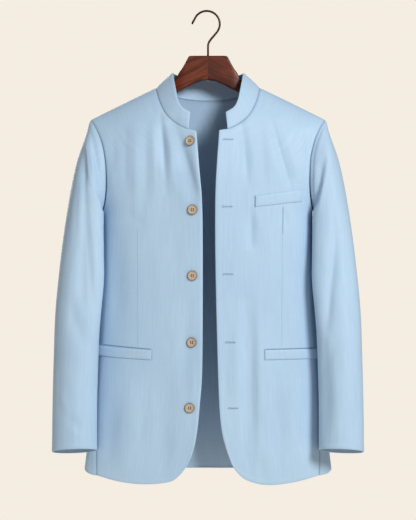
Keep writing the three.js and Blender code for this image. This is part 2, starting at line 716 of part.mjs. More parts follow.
function sleeveGeometry(side) {
  const armhole = armholeRing(side);
  const columns = armhole.map(({ turn, point }) => {
    const rings = SLEEVE.map((ring) => {
      const reach = (1 + Math.cos(turn)) / 2;
      const depth = ring.depth * Math.sin(turn);
      const lean = ring.lean * (1 - reach) ** 2 * Math.max(Math.sin(turn), 0) ** 1.5;
      return new THREE.Vector3(
        side * (lerp(ring.innerX, ring.outerX, reach) - lean),
        -ring.forward - depth,
        lerp(ring.innerZ, ring.outerZ, reach) + ring.drop * depth,
      );
    });
    return curveThrough([point, ...rings]).getPoints(CELLS.sleeve);
  });
  const plain = Array.from({ length: CELLS.sleeve + 1 }, (_, j) => columns.map((column) => column[j]));
  const outward = (normals) => normals.map((line) => line.map((normal) => normal.multiplyScalar(side)));
  const plainNormals = outward(gridNormals(plain, true));
  const folded = plain.map((line, j) =>
    line.map((point, i) => {
      const depth = Math.sin(armhole[i].turn);
      const height = foldHeight(SLEEVE_FOLDS, depth > 0 ? "front" : "back", point.x, point.z);
      const share = gentleStep(Math.abs(depth), 0.6) * gentleStep(j, 2);
      return point.clone().addScaledVector(plainNormals[j][i], height * share);
    }),
  );
  const normals = outward(gridNormals(folded, true));
  normals[0] = normals[0].map((normal, i) => wallBeside(normal, armhole[i].outgoing));
  return wallGeometry(folded, moved(folded, normals, -CLOTH_WALL), true);
}

function collarGeometry() {
  const leftRows = [...frontNeckRows, ...backNeckRows.slice(1)];
  const rows = [...leftRows, ...leftRows.slice(0, -1).reverse().map((row) => NECK_LAST - row)];
  const seams = rows.map((row) => {
    const at = neckPlace(row);
    return { point: body(at.x, at.y), normal: bodyNormal(at.x, at.y) };
  });
  const outgoing = seams.map(({ normal }, i) => {
    const next = seams[Math.min(i + 1, seams.length - 1)].point;
    const last = seams[Math.max(i - 1, 0)].point;
    return normal.clone().cross(next.clone().sub(last)).normalize();
  });
  const straight = Array.from({ length: CELLS.collar + 1 }, (_, j) =>
    rows.map((row, i) => {
      const foot = seams[i].point.clone().addScaledVector(outgoing[i], SEAM_GAP / 2);
      return foot.lerp(collarTop.getPoint(row / NECK_LAST), j / CELLS.collar);
    }),
  );
  const facing = gridNormals(straight, false);
  const outer = straight.map((line, j) => {
    const rise = j / CELLS.collar;
    const bulge = 4 * COLLAR_BULGE * rise * (1 - rise);
    return line.map((point, i) => point.clone().addScaledVector(facing[j][i], bulge));
  });
  const normals = gridNormals(outer, false);
  normals[0] = normals[0].map((normal, i) => wallBeside(normal, outgoing[i]));
  return wallGeometry(outer, moved(outer, normals, -COLLAR_WALL), false);
}

// A flat strip sewn onto the front, worked out from places on the cloth and moved out.
function weltGeometry(places) {
  const points = places.map((line) => line.map((at) => body(at.x, at.y)));
  const normals = places.map((line) => line.map((at) => bodyNormal(at.x, at.y)));
  return wallGeometry(moved(points, normals, LAID_GAP + WELT_WALL), moved(points, normals, LAID_GAP), false);
}

function gridOf(columns, rows, placeAt) {
  return Array.from({ length: rows + 1 }, (_, j) =>
    Array.from({ length: columns + 1 }, (__, i) => placeAt(i / columns, j / rows)),
  );
}

function chestWeltGeometry() {
  const welt = CHEST_WELT;
  return weltGeometry(
    gridOf(8, 2, (u, v) => {
      const z = lerp(lerp(welt.innerFoot, welt.outerFoot, u), lerp(welt.innerTop, welt.outerTop, u), v);
      return place(1, "front", lerp(welt.innerX, welt.outerX, u), z);
    }),
  );
}

function hipWeltGeometry(side) {
  const welt = HIP_WELT;
  const sideRise = side > 0 ? welt.riseLeft : welt.riseRight;
  const innerBearing = bearingAt(welt.innerX, (welt.top + welt.foot) / 2);
  return weltGeometry(
    gridOf(14, 2, (u, v) => {
      const bearing = lerp(innerBearing, welt.endBearing, u);
      const rise = sideRise * Math.min(u / welt.riseShare, 1);
      return placeAtBearing(side, bearing, lerp(welt.foot, welt.top, v) + rise);
    }),
  );
}

// Buttons

function solidOf(geometry) {
  const bare = geometry.clone();
  bare.deleteAttribute("normal");
  bare.deleteAttribute("uv");
  const merged = mergeVertices(bare, 1e-3);
  return new wasm.Manifold(
    new wasm.Mesh({
      numProp: 3,
      vertProperties: merged.attributes.position.array,
      triVerts: new Uint32Array(merged.index.array),
    }),
  );
}

function geometryOf(solid) {
  const mesh = solid.getMesh();
  const geometry = new THREE.BufferGeometry();
  geometry.setAttribute("position", new THREE.Float32BufferAttribute(mesh.vertProperties, 3));
  geometry.setIndex([...mesh.triVerts]);
  geometry.computeVertexNormals();
  return geometry;
}

// A dished disc with a raised rim and sewing holes, its foot on z = 0.
function buttonGeometry() {
  const profile = [
    [0, 0],
    [BUTTON.foot, 0],
    [BUTTON.radius, 1.5],
    [BUTTON.radius - 0.5, BUTTON.rim - 0.3],
    [BUTTON.radius - 1.5, BUTTON.rim],
    [BUTTON.dishRadius, BUTTON.dish],
    [0, BUTTON.dish],
  ].map(([radius, height]) => new THREE.Vector2(radius, height));
  let solid = solidOf(new THREE.LatheGeometry(profile, 20));
  for (let hole = 0; hole < BUTTON.holes; hole += 1) {
    const angle = Math.PI / 4 + (2 * Math.PI * hole) / BUTTON.holes;
    const drill = new THREE.CylinderGeometry(BUTTON.holeRadius, BUTTON.holeRadius, 4 * BUTTON.rim, 8);
    drill.translate(BUTTON.holeRing * Math.cos(angle), 0, BUTTON.holeRing * Math.sin(angle));
    solid = solid.subtract(solidOf(drill));
  }
  return geometryOf(solid).rotateX(Math.PI / 2);
}

// Lays a button on a front, far enough out to clear the cloth under its whole foot.
function seatButton(mesh, spot, front) {
  const at = place(Math.sign(spot.x), "front", Math.abs(spot.x), spot.z);
  const centre = body(at.x, at.y);
  const normal = bodyNormal(at.x, at.y);
  mesh.quaternion.setFromUnitVectors(new THREE.Vector3(0, 0, 1), normal);
  const probe = new THREE.Raycaster();
  let highest = 0;
  for (let k = 0; k < 48; k += 1) {
    const reach = BUTTON.foot * (1 - Math.floor(k / 16) / 3);
    const angle = (Math.PI * k) / 8;
    const rim = new THREE.Vector3(reach * Math.cos(angle), reach * Math.sin(angle), BUTTON.radius);
    probe.set(rim.applyQuaternion(mesh.quaternion).add(centre), normal.clone().negate());
    const [hit] = probe.intersectObject(front);
    if (hit) highest = Math.max(highest, BUTTON.radius - hit.distance);
  }
  mesh.position.copy(centre).addScaledVector(normal, highest + SEAM_GAP);
  return mesh;
}

// Hanger and hook

// Rounded upright section of the hanger at a station, as a ring of points.
function hangerSection({ x, top, foot, thick, round }) {
  const corners = [
    { y: thick / 2 - round, z: top - round, from: 0 },
    { y: round - thick / 2, z: top - round, from: 1 },
    { y: round - thick / 2, z: foot + round, from: 2 },
    { y: thick / 2 - round, z: foot + round, from: 3 },
  ];
  return corners.flatMap((corner) =>
    [0, 1, 2].map((step) => {
      const angle = ((corner.from + step / 2) * Math.PI) / 2;
      return new THREE.Vector3(x, corner.y + round * Math.cos(angle), corner.z + round * Math.sin(angle));
    }),
  );
}

function hangerStations() {
  const arm = Array.from({ length: HANGER_ARM.stations }, (_, k) => {
    const share = k / (HANGER_ARM.stations - 1);
    const x = lerp(HANGER_ARM.fromX, HANGER_ARM.toX, share);
    const top = shoulderLine(x) - HANGER_UNDER_CLOTH;
    return {
      x,
      top,
      foot: top - lerp(HANGER_ARM.height, HANGER_ARM.heightAtEnd, share),
      thick: lerp(HANGER_ARM.thick, HANGER_ARM.thickAtEnd, share),
      round: HANGER_ARM.round,
    };
  });
  const last = arm.at(-1);
  const inset = ((1 - HANGER_END.share) * (last.top - last.foot)) / 2;
  const end = {
    x: HANGER_END.x,
    top: last.top - inset,
    foot: last.foot + inset,
    thick: last.thick * HANGER_END.share,
    round: last.round * HANGER_END.share,
  };
  return [...HANGER, ...arm, end];
}

function hangerGeometry() {
  const half = hangerStations();
  const mirrored = half.slice(1).reverse().map((station) => ({ ...station, x: -station.x }));
  const stations = [...mirrored, ...half];
  const rings = stations.map(hangerSection);
  const sides = rings[0].length;
  const positions = rings.flat().flatMap((point) => point.toArray());
  const index = [];
  for (let j = 0; j < rings.length - 1; j += 1) {
    for (let i = 0; i < sides; i += 1) {
      const next = (i + 1) % sides;
      index.push(j * sides + i, j * sides + next, (j + 1) * sides + next);
      index.push(j * sides + i, (j + 1) * sides + next, (j + 1) * sides + i);
    }
  }
  const far = (rings.length - 1) * sides;
  for (let i = 1; i < sides - 1; i += 1) {
    index.push(0, i + 1, i);
    index.push(far, far + i, far + i + 1);
  }
  const geometry = new THREE.BufferGeometry();
  geometry.setAttribute("position", new THREE.Float32BufferAttribute(positions, 3));
  geometry.setIndex(signedVolume(positions, index) < 0 ? reversed(index) : index);
  geometry.computeVertexNormals();
  return geometry;
}

function hookGeometry() {
  const centreZ = HOOK.wire / 2 - HOOK.loop;
  const onLoop = (angle) =>
    new THREE.Vector3(HOOK.centreX + HOOK.loop * Math.cos(angle), 0, centreZ + HOOK.loop * Math.sin(angle));
  const tipWay = new THREE.Vector3(-Math.sin(HOOK.tipAngle), 0, Math.cos(HOOK.tipAngle));
  const tip = [1, 0.5].map((share) => onLoop(HOOK.tipAngle).addScaledVector(tipWay, share * HOOK.tipRun));
  const turns = 12;
  const angleAt = (k) => lerp(HOOK.tipAngle, HOOK.leaveAngle, k / turns);
  const loop = Array.from({ length: turns + 1 }, (_, k) => onLoop(angleAt(k)));
  const leave = loop.at(-1);
  const heading = new THREE.Vector3(Math.sin(HOOK.leaveAngle), 0, -Math.cos(HOOK.leaveAngle));
  const bend = new THREE.CubicBezierCurve3(
    leave,
    leave.clone().addScaledVector(heading, HOOK.leaveRun),
    new THREE.Vector3(0, 0, HOOK.stemTop + HOOK.stemRun),
    new THREE.Vector3(0, 0, HOOK.stemTop),
  );
  const stemFoot = new THREE.Vector3(0, 0, HOOK.stemFoot);
  const path = curveThrough([...tip, ...loop, ...bend.getPoints(4).slice(1), stemFoot]);
  const section = new THREE.Shape();
  for (let k = 0; k < HOOK.sides; k += 1) {
    const angle = (2 * Math.PI * k) / HOOK.sides;
    const x = (HOOK.wire / 2) * Math.cos(angle);
    const y = (HOOK.wire / 2) * Math.sin(angle);
    if (k === 0) section.moveTo(x, y);
    else section.lineTo(x, y);
  }
  return new THREE.ExtrudeGeometry(section, { steps: HOOK.steps, extrudePath: path });
}

const jacket = new THREE.Group();
const frontRight = namedMesh("front_right", frontGeometry(-1, "right"), blueCloth);
jacket.add(
  frontRight,
  namedMesh("front_left", frontGeometry(1, "left"), blueCloth),
  namedMesh("back", backGeometry(), blueCloth),
  namedMesh("sleeve_right", sleeveGeometry(-1), blueCloth),
  namedMesh("sleeve_left", sleeveGeometry(1), blueCloth),
  namedMesh("collar", collarGeometry(), blueCloth),
  namedMesh("chest_welt", chestWeltGeometry(), blueCloth),
  namedMesh("hip_welt_right", hipWeltGeometry(-1), blueCloth),
  namedMesh("hip_welt_left", hipWeltGeometry(1), blueCloth),
);
const oneButton = buttonGeometry();
BUTTON_PLACES.forEach((spot, k) => {
  jacket.add(seatButton(namedMesh(`button_${k + 1}`, oneButton, buttonHorn), spot, frontRight));
});
const carrier = new THREE.Group();
carrier.add(namedMesh("hanger", hangerGeometry(), walnut), namedMesh("hook", hookGeometry(), bronzeWire));

const part = new THREE.Group();
part.add(jacket, carrier);

export default part;
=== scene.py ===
"""A light blue jacket with a stand collar, hanging open on a wooden hanger.

Sizes are millimetres, turned to metres when a mesh is made. +Z is up and the jacket faces -Y, so the wearer's left is
+X, and the origin is the underside of the hook's crown. A place on the body's cloth is a bearing, which runs round from
0 at the front and is positive to the wearer's left, and a fall, the way down the cloth from the shoulder line.
"""

from __future__ import annotations

import logging
import math
from collections.abc import Callable, Sequence
from dataclasses import dataclass
from enum import Enum

import bpy
import numpy as np
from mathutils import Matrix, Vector

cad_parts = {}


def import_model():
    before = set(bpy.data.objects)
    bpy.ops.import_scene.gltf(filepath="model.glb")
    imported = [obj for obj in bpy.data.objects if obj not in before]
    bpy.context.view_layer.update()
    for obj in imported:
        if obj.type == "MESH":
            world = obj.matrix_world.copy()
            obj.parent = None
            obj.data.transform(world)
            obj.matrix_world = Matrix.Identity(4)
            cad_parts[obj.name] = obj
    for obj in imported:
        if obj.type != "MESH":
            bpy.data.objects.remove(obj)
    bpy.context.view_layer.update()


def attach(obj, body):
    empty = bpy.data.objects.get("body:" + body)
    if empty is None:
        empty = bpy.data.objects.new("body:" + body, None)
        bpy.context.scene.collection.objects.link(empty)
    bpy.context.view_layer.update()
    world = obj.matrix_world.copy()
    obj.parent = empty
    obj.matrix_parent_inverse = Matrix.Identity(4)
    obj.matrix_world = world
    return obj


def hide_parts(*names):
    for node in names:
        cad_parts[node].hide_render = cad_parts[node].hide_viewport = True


LOG = logging.getLogger("jacket")
MM = 0.001
BODY = "root"
TURN, RIGHT_ANGLE = 2 * math.pi, math.pi / 2
Array = np.ndarray
Piece = bpy.types.Object
Faces = Sequence[Sequence[int]]
Colour = tuple[float, float, float]


class Side(Enum):
    """A side of the wearer, by the sign of X."""

    RIGHT = -1
    LEFT = 1


class Face(Enum):
    """Which way the cloth looks."""

    FRONT = "front"
    BACK = "back"


# Curves and tables

CHORDS = 1500
EDGE_LINES = (0.7, 1.5, 3.0)
CROWDED = 0.45


def hermite(axis: Array, value: Array, at: Array) -> Array:
    """Smooth curve through rows: a cubic between two rows, whose slope at a row is that of its neighbours' chord.

    Args:
        axis: places of the rows, rising or falling.
        value: number or vector at each row.
        at: where to read the curve, held inside the rows.

    Returns:
        The curve's values, with the shape of at and then that of a row's value.
    """
    sense = 1.0 if axis[-1] > axis[0] else -1.0
    rows = axis * sense
    here = np.clip(np.asarray(at, float) * sense, rows[0], rows[-1])
    low = np.clip(np.searchsorted(rows, here, side="right") - 1, 0, len(rows) - 2)
    spread = (...,) + (None,) * (value.ndim - 1)
    tall = rows[spread]
    slope = np.empty(value.shape)
    slope[1:-1] = (value[2:] - value[:-2]) / (tall[2:] - tall[:-2])
    slope[[0, -1]] = (value[[1, -1]] - value[[0, -2]]) / (tall[[1, -1]] - tall[[0, -2]])
    span = (rows[low + 1] - rows[low])[spread]
    t = (here - rows[low])[spread] / span
    start = value[low] * (1 + 2 * t) * (1 - t) ** 2 + slope[low] * span * t * (1 - t) ** 2
    end = value[low + 1] * t * t * (3 - 2 * t) + slope[low + 1] * span * t * t * (t - 1)
    return start + end


@dataclass(frozen=True)
class Table:
    """Rows of numbers under named columns, the first of which is the one that the others are read along."""

    names: str
    rows: tuple[tuple[float, ...], ...]

    def column(self, name: str) -> Array:
        """One column."""
        return np.array([row[self.names.split().index(name)] for row in self.rows])

    def read(self, name: str, at: Array) -> Array:
        """A column on the smooth curve through the rows, at places along the first one."""
        return hermite(self.column(self.names.split()[0]), self.column(name), at)


def curve(points: Array, at: Array) -> Array:
    """Points on the smooth curve through rows of points, by the share of rows passed."""
    return hermite(np.arange(len(points), dtype=float), points, np.asarray(at) * (len(points) - 1.0))


def run_lengths(points: Array, axis: int) -> Array:
    """Length run along one axis of a grid, the sum of its chords from the start."""
    steps = np.diff(points, axis=axis, prepend=np.take(points, [0], axis=axis))
    return np.cumsum(np.linalg.norm(steps, axis=-1), axis=axis)


def by_length(points: Array, share: Array) -> Array:
    """Points on the smooth curve through rows of points, by the share of its length, read off short chords.

    Args:
        points: (n, k) points.
        share: shares from 0 to 1.

    Returns:
        (len(share), k) points.
    """
    dense = curve(points, np.linspace(0, 1, CHORDS + 1))
    along = run_lengths(dense, 0)
    return np.stack([np.interp(share * along[-1], along, column) for column in dense.T], -1)


def gentle(value: Array, full: float) -> Array:
    """Rises from 0 to 1 over a span, as 3t² - 2t³."""
    t = np.clip(np.asarray(value) / full, 0, 1)
    return t * t * (3 - 2 * t)


def bell(distance: Array, width: float, centre: float = 0.0) -> Array:
    """A hump 1 high, exp(-((d - centre)/width)²)."""
    return np.exp(-(((distance - centre) / width) ** 2))


def unit(vectors: Array) -> Array:
    """Vectors at a length of 1."""
    return vectors / np.maximum(np.linalg.norm(vectors, axis=-1, keepdims=True), 1e-12)


def lines(count: int, length: float, corners: Sequence[float] = ()) -> Array:
    """Grid lines from 0 to 1: even ones, the corners, and three close to each end.

    Args:
        count: number of even cells.
        length: how long the grid is.
        corners: shares that get a line of their own.

    Returns:
        Rising shares.
    """
    ends = np.array(EDGE_LINES) / length
    even = np.linspace(0, 1, count + 1)
    keep = np.concatenate([[0, 1], ends, 1 - ends, np.asarray(corners, float)])
    near = np.abs(even[:, None] - keep[None, :]).min(1) < CROWDED / count
    return np.unique(np.concatenate([keep, even[~near]]))


# Body form

GIRTH = Table(
    "z width front back middle square",
    (
        (-150, 251, 60, 54, 0, 2.7),
        (-213, 252, 63, 56, 0, 2.7),
        (-300, 238, 67, 60, 1, 2.6),
        (-355, 219, 67, 60, 2, 2.5),
        (-391, 206.5, 66, 58, 2, 2.5),
        (-425, 206.6, 65, 56, 3, 2.4),
        (-470, 207, 63, 53, 4, 2.4),
        (-530, 208.6, 61, 51, 5, 2.3),
        (-600, 213.5, 59, 50, 6, 2.2),
        (-680, 220.5, 57, 50, 7, 2.1),
        (-780, 230, 55, 50, 8, 2.1),
        (-860, 239, 54, 50, 8, 2.1),
        (-930, 247, 54, 50, 8, 2.1),
    ),
)
EDGE_LIFT = Table("z lift", ((-150, 0), (-235, 12), (-320, 15), (-410, 10), (-520, 6), (-700, 5), (-930, 7)))
EDGE_LIFT_WIDTH, EDGE_LIFT_AHEAD = 52, 0.5
NECK_X, NECK_Z = 101.0, -149.0
SHOULDER_FALL, SHOULDER_ROUND, SHOULDER_TIP_X = 0.497, 30.0, 231.0
ROLL = 150.0
HEIGHT_PASSES = 8
FOLD_AHEAD = 0.35
PLAIN_STEP, FOLDED_STEP = (0.002, 0.4), (0.004, 0.8)
CREASE_FADE = 0.8


def shoulder_line(x: Array) -> Array:
    """Height of the shoulder line: it falls evenly from the neck point, and is rounded off inside the neck."""
    reach = np.hypot(x, SHOULDER_ROUND) - math.hypot(NECK_X, SHOULDER_ROUND)
    return NECK_Z - SHOULDER_FALL * reach


def fall_for(drop: Array) -> Array:
    """Way down the cloth for a drop in height: along a quarter circle of the roll's radius, then straight down."""
    round_part = ROLL * np.arccos(np.clip(1 - drop / ROLL, -1, 1))
    return np.where(drop < ROLL, round_part, drop + ROLL * (RIGHT_ANGLE - 1))


def drop_after(fall: Array) -> Array:
    """Drop in height after a way down the cloth, the reverse of fall_for."""
    return np.where(fall < ROLL * RIGHT_ANGLE, ROLL * (1 - np.cos(fall / ROLL)), fall - ROLL * (RIGHT_ANGLE - 1))


def plan_point(bearing: Array, square: Array) -> Array:
    """Across and ahead on the unit plan section |across|^n + |ahead|^n = 1 at a bearing."""
    sides = np.stack([np.sin(bearing), np.cos(bearing)])
    return sides * np.sum(np.abs(sides) ** square, 0) ** (-1 / square)


def bearing_at(x: Array, z: Array) -> Array:
    """Bearing on the front at which the body lies at a distance from the centre, the reverse of plan_point.

    Args:
        x: distance from the centre.
        z: height.

    Returns:
        Bearings from 0 to a right angle.
    """
    square = GIRTH.read("square", z)
    share = np.minimum(np.asarray(x) / GIRTH.read("width", z), 1)
    return np.arctan2(share, (1 - share**square) ** (1 / square))


def with_fall(bearing: Array, x: Array, z: Array) -> Array:
    """Places at a bearing whose cloth lies at a distance from the centre and a height."""
    return np.stack([bearing, fall_for(shoulder_line(x) - z)], -1)


def place(side: float, face: Face, x: Array, z: Array) -> Array:
    """Places on one side of the front or back at a distance from the centre and a height."""
    front = bearing_at(x, z)
    return with_fall(side * (front if face is Face.FRONT else math.pi - front), x, z)


def place_at_bearing(side: float, bearing: Array, z: Array) -> Array:
    """Places on one side at a bearing and a height."""
    across, _ = plan_point(bearing, GIRTH.read("square", z))
    return with_fall(side * bearing, np.abs(GIRTH.read("width", z) * across), z)


@dataclass(frozen=True)
class Crease:
    """A soft ridge (height above 0) or trough along a straight run, seen from the front or back."""

    from_x: float
    from_z: float
    to_x: float
    to_z: float
    height: float
    width: float
    lean: float = 0.0

    def relief(self, x: Array, z: Array) -> Array:
        """Height at points: a bell across the run, wider on one side by the lean, that fades in and out along it.

        Args:
            x: places across.
            z: heights.

        Returns:
            The crease's height, with the shape of x.
        """
        run_x, run_z = self.to_x - self.from_x, self.to_z - self.from_z
        length = math.hypot(run_x, run_z)
        along = ((x - self.from_x) * run_x + (z - self.from_z) * run_z) / length**2
        off = ((x - self.from_x) * run_z - (z - self.from_z) * run_x) / length
        fade = np.sin(math.pi * np.clip(along, 0, 1)) ** CREASE_FADE
        return self.height * fade * bell(off, self.width * (1 + self.lean * np.sign(off)))


def creases(*rows: Sequence[float]) -> tuple[Crease, ...]:
    """Creases from rows of their fields."""
    return tuple(Crease(*row) for row in rows)


FRONT_FOLDS = creases(
    (-92, -222, -80, -312, -4.5, 13), (-70, -226, -58, -330, 3, 15), (-172, -222, -186, -318, -3, 14),
    (-176, -420, -176, -640, -3, 20), (-42, -540, -42, -760, -2.5, 15), (-80, -700, -92, -925, -3, 22),
    (-150, -720, -160, -925, 3.5, 24), (140, -215, 167, -345, -3.5, 13), (192, -230, 200, -305, -2.5, 10),
    (77, -225, 79, -325, -3, 13), (84, -382, 82, -470, -3, 11), (85, -560, 87, -860, -5, 15),
    (60, -570, 58, -830, 3, 14), (108, -590, 110, -880, 3, 15), (165, -720, 176, -925, 3.5, 24),
)
BACK_FOLDS = creases(
    (-150, -225, -172, -360, -4, 15), (146, -225, 170, -350, -3.5, 14), (-70, -480, -84, -905, -5, 24),
    (62, -430, 88, -905, -5.5, 26), (-14, -600, -6, -905, 3.5, 26), (150, -640, 166, -905, 4, 22),
    (-146, -560, -170, -905, 4, 24),
)
FRONT_CREASES = creases(
    (-93, -190, -80, -372, -2.4, 5), (-84, -204, -62, -366, 2.2, 7), (-70, -214, -14, -388, -5.6, 13, 0.3),
    (-30, -250, -12, -392, 3.4, 10), (-141, -212, -139, -430, 1.5, 8), (-121, -216, -119, -400, -1.8, 8),
    (-107, -206, -100, -380, 1.2, 6), (-160, -214, -160, -360, -1.3, 7), (-178, -222, -176, -330, 1.2, 7),
    (194, -230, 197, -320, -1.8, 6), (84, -388, 86, -470, -1.6, 6, 0.3), (96, -392, 98, -436, 1.0, 7),
    (62, -200, 76, -352, -2.0, 7), (74, -198, 92, -350, 1.8, 8), (120, -206, 162, -356, -3.2, 8, 0.3),
    (136, -204, 178, -348, 2.6, 9), (-190, -262, -183, -372, 1.0, 8), (-60, -330, -36, -398, 0.8, 9),
    (-112, -330, -118, -470, 0.8, 14), (-158, -395, -118, -432, -0.8, 9), (-98, -455, -90, -620, 0.9, 14),
    (-64, -420, -58, -560, -0.7, 11), (-196, -470, -192, -600, 0.9, 8), (-120, -705, -128, -868, -1.1, 13),
    (-58, -800, -70, -915, 1.0, 11), (-186, -760, -196, -908, -1.2, 12), (-36, -668, -28, -790, 0.8, 9),
    (48, -232, 46, -392, 1.2, 10), (100, -206, 112, -350, -1.4, 9), (172, -250, 184, -340, 1.0, 8),
    (95, -540, 98, -890, 3.4, 9), (71, -530, 72, -880, -2.6, 9), (62, -400, 52, -500, 0.8, 11),
    (112, -398, 118, -520, 0.9, 12), (148, -392, 154, -430, -1.5, 6), (172, -398, 168, -520, 0.8, 12),
    (186, -430, 188, -600, -0.9, 8), (36, -600, 34, -760, -0.8, 10), (134, -705, 138, -880, -1.4, 14),
    (72, -840, 86, -922, -1.1, 12), (112, -850, 124, -924, 1.2, 10), (200, -740, 210, -900, -1.3, 10),
)
BACK_CREASES = creases(
    (-60, -186, -66, -260, 0.9, 10), (56, -188, 60, -270, -0.9, 9), (-112, -205, -124, -300, -1.0, 11),
    (104, -208, 118, -310, 1.0, 11), (-176, -330, -150, -420, 1.1, 10), (180, -320, 150, -425, -1.2, 11),
    (-24, -240, -20, -420, 0.8, 16), (30, -300, 34, -460, -0.8, 15), (-110, -470, -120, -690, -1.2, 16),
    (116, -480, 122, -700, 1.1, 15), (-34, -520, -40, -760, 1.2, 14), (40, -560, 44, -800, 1.0, 14),
    (-190, -560, -200, -820, -1.4, 14), (194, -580, 202, -850, -1.3, 13), (-112, -720, -116, -903, 1.3, 13),
    (118, -730, 124, -903, -1.4, 13), (24, -740, 30, -903, -1.2, 12),
)


def folds_relief(folds: Sequence[Crease], x: Array, z: Array) -> Array:
    """Sum of the creases' heights at points."""
    return np.sum([crease.relief(x, z) for crease in folds], axis=0)


def plain_body(at: Array) -> tuple[Array, Array, Array]:
    """The body's cloth without folds.

    The height is the shoulder line's less the drop, found in a few passes because the line depends on X; X is the
    half width times the plan section, and Y leaves the middle by the depth times the plan section and the roll.

    Args:
        at: places.

    Returns:
        Points, how squarely each faces the front (1) or back (-1), and its share of the roll.
    """
    bearing, fall = at[..., 0], np.maximum(at[..., 1], 0)
    drop = drop_after(fall)
    roll = np.sin(np.minimum(fall / ROLL, RIGHT_ANGLE))
    z = shoulder_line(0.0) - drop
    for _ in range(HEIGHT_PASSES):
        across, ahead = plan_point(bearing, GIRTH.read("square", z))
        x = GIRTH.read("width", z) * across
        z = shoulder_line(x) - drop
    depth = np.where(ahead > 0, GIRTH.read("front", z), GIRTH.read("back", z))
    swell = bell(x, EDGE_LIFT_WIDTH) * gentle(ahead, EDGE_LIFT_AHEAD)
    y = GIRTH.read("middle", z) - depth * ahead * roll - EDGE_LIFT.read("lift", z) * swell
    return np.stack([x, y, z], -1), ahead, roll


def normal_over(surface: Callable[[Array], Array], at: Array, step: tuple[float, float]) -> Array:
    """Outward normals of a surface over places: the cross product of its steps down the cloth and across it."""
    across, down = (surface(at + way) - surface(at - way) for way in np.diag(step))
    return unit(np.cross(down, across))


def body(at: Array) -> Array:
    """The body's cloth at places, with its folds and creases laid along the plain cloth's normal.

    Args:
        at: places.

    Returns:
        Points.
    """
    point, ahead, roll = plain_body(at)
    normal = normal_over(lambda near: plain_body(near)[0], at, PLAIN_STEP)
    front = folds_relief(FRONT_FOLDS + FRONT_CREASES, point[..., 0], point[..., 2])
    back = folds_relief(BACK_FOLDS + BACK_CREASES, point[..., 0], point[..., 2])
    height = np.where(ahead > 0, front, back) * roll * gentle(np.abs(ahead), FOLD_AHEAD)
    return point + height[..., None] * normal


def body_normal(at: Array) -> Array:
    """Outward normals of the folded cloth at places."""
    return normal_over(body, at, FOLDED_STEP)


# Walls

CLOTH_WALL = 1.8
SEAM_SHADE = 1.3
RIM_BULGE, FOLDED_BULGE = 0.3, 0.2


@dataclass(frozen=True)
class Border:
    """How cloth lies beside a border: it dips at it, and may stand up a little way in, as turned cloth does."""

    dip: float
    dip_width: float
    rise: float = 0.0
    rise_width: float = 1.0
    rise_at: float = 0.0

    def relief(self, distance: Array) -> Array:
        """Height at a distance from the border, the rise's bell less the dip's."""
        return self.rise * bell(distance, self.rise_width, self.rise_at) - self.dip * bell(distance, self.dip_width)


SEWN, TURNED = Border(0.9, 2.6), Border(0.5, 1.6, 0.35, 3.0, 5.0)
COLLAR_SEWN, COLLAR_TURNED = Border(0.7, 2.2), Border(0.4, 1.5, 0.3, 2.6, 4.5)
PRESSED = Border(0.45, 0.8)


def grid_normals(points: Array, ring: bool = False) -> Array:
    """Unit normals of a grid, the cross product of the runs along its rows and columns. A ring's rows close."""
    along = np.roll(points, -1, 1) - np.roll(points, 1, 1) if ring else np.gradient(points, axis=1)
    return unit(np.cross(along, np.gradient(points, axis=0)))


def square_to_seam(normals: Array, outgoing: Array, rows: int) -> Array:
    """Normals whose first rows no longer lean out of the seam, so that the wall ends square to it."""
    lean = np.maximum(0, np.sum(normals[:rows] * outgoing, -1, keepdims=True))
    return np.concatenate([unit(normals[:rows] - lean * outgoing), normals[rows:]])


def quads(rows: int, columns: int, ring: bool) -> Array:
    """Corner numbers of a grid's cells.

    Args:
        rows: rows of points.
        columns: points in a row.
        ring: whether each row closes on itself.

    Returns:
        (n, 4) corner numbers.
    """
    j, i = np.meshgrid(np.arange(rows - 1), np.arange(columns if ring else columns - 1), indexing="ij")
    here, beside = j * columns + i, j * columns + (i + 1) % columns
    return np.stack([here, beside, beside + columns, here + columns], -1).reshape(-1, 4)


def strip(first: Array, second: Array) -> Array:
    """Cells between two closed loops of corner numbers."""
    return np.stack([first, np.roll(first, -1), np.roll(second, -1), second], -1)


def outward(points: Array, faces: Array) -> Array:
    """Turns all faces over if the volume that they enclose is negative.

    Args:
        points: (n, 3) points.
        faces: (m, 4) corner numbers.

    Returns:
        Faces that point outwards; the volume is the sum of their corners' triple products.
    """
    a, b, c, d = (points[faces[:, k]] for k in range(4))
    volume = np.sum(a * np.cross(b, c)) + np.sum(a * np.cross(c, d))
    return faces if volume > 0 else faces[:, ::-1]


def ring_faces(rings: Array, closed: bool = False) -> list[list[int]]:
    """Faces round rings of points that follow each other, facing outwards.

    Args:
        rings: (rings, corners, 3) points.
        closed: whether the last ring joins the first; if not, a face closes each end.

    Returns:
        Corner numbers of each face.
    """
    count, corners = rings.shape[:2]
    cells = quads(count + closed, corners, ring=True) % (count * corners)
    faces = outward(rings.reshape(-1, 3), cells)
    turned = faces[0, 0] != cells[0, 0]
    loop = np.arange(corners)
    ends = [] if closed else [loop[::-1], loop + (count - 1) * corners]
    return faces.tolist() + [(end[::-1] if turned else end).tolist() for end in ends]


def joined(parts: Sequence[tuple[Array, Faces]]) -> tuple[Array, Faces]:
    """Several meshes as one.

    Args:
        parts: each mesh's points and faces.

    Returns:
        All points, and all faces with their corners counted on.
    """
    starts = np.cumsum([0] + [len(points) for points, _ in parts])
    faces = [[corner + start for corner in face] for (_, own), start in zip(parts, starts) for face in own]
    return np.concatenate([points for points, _ in parts]), faces


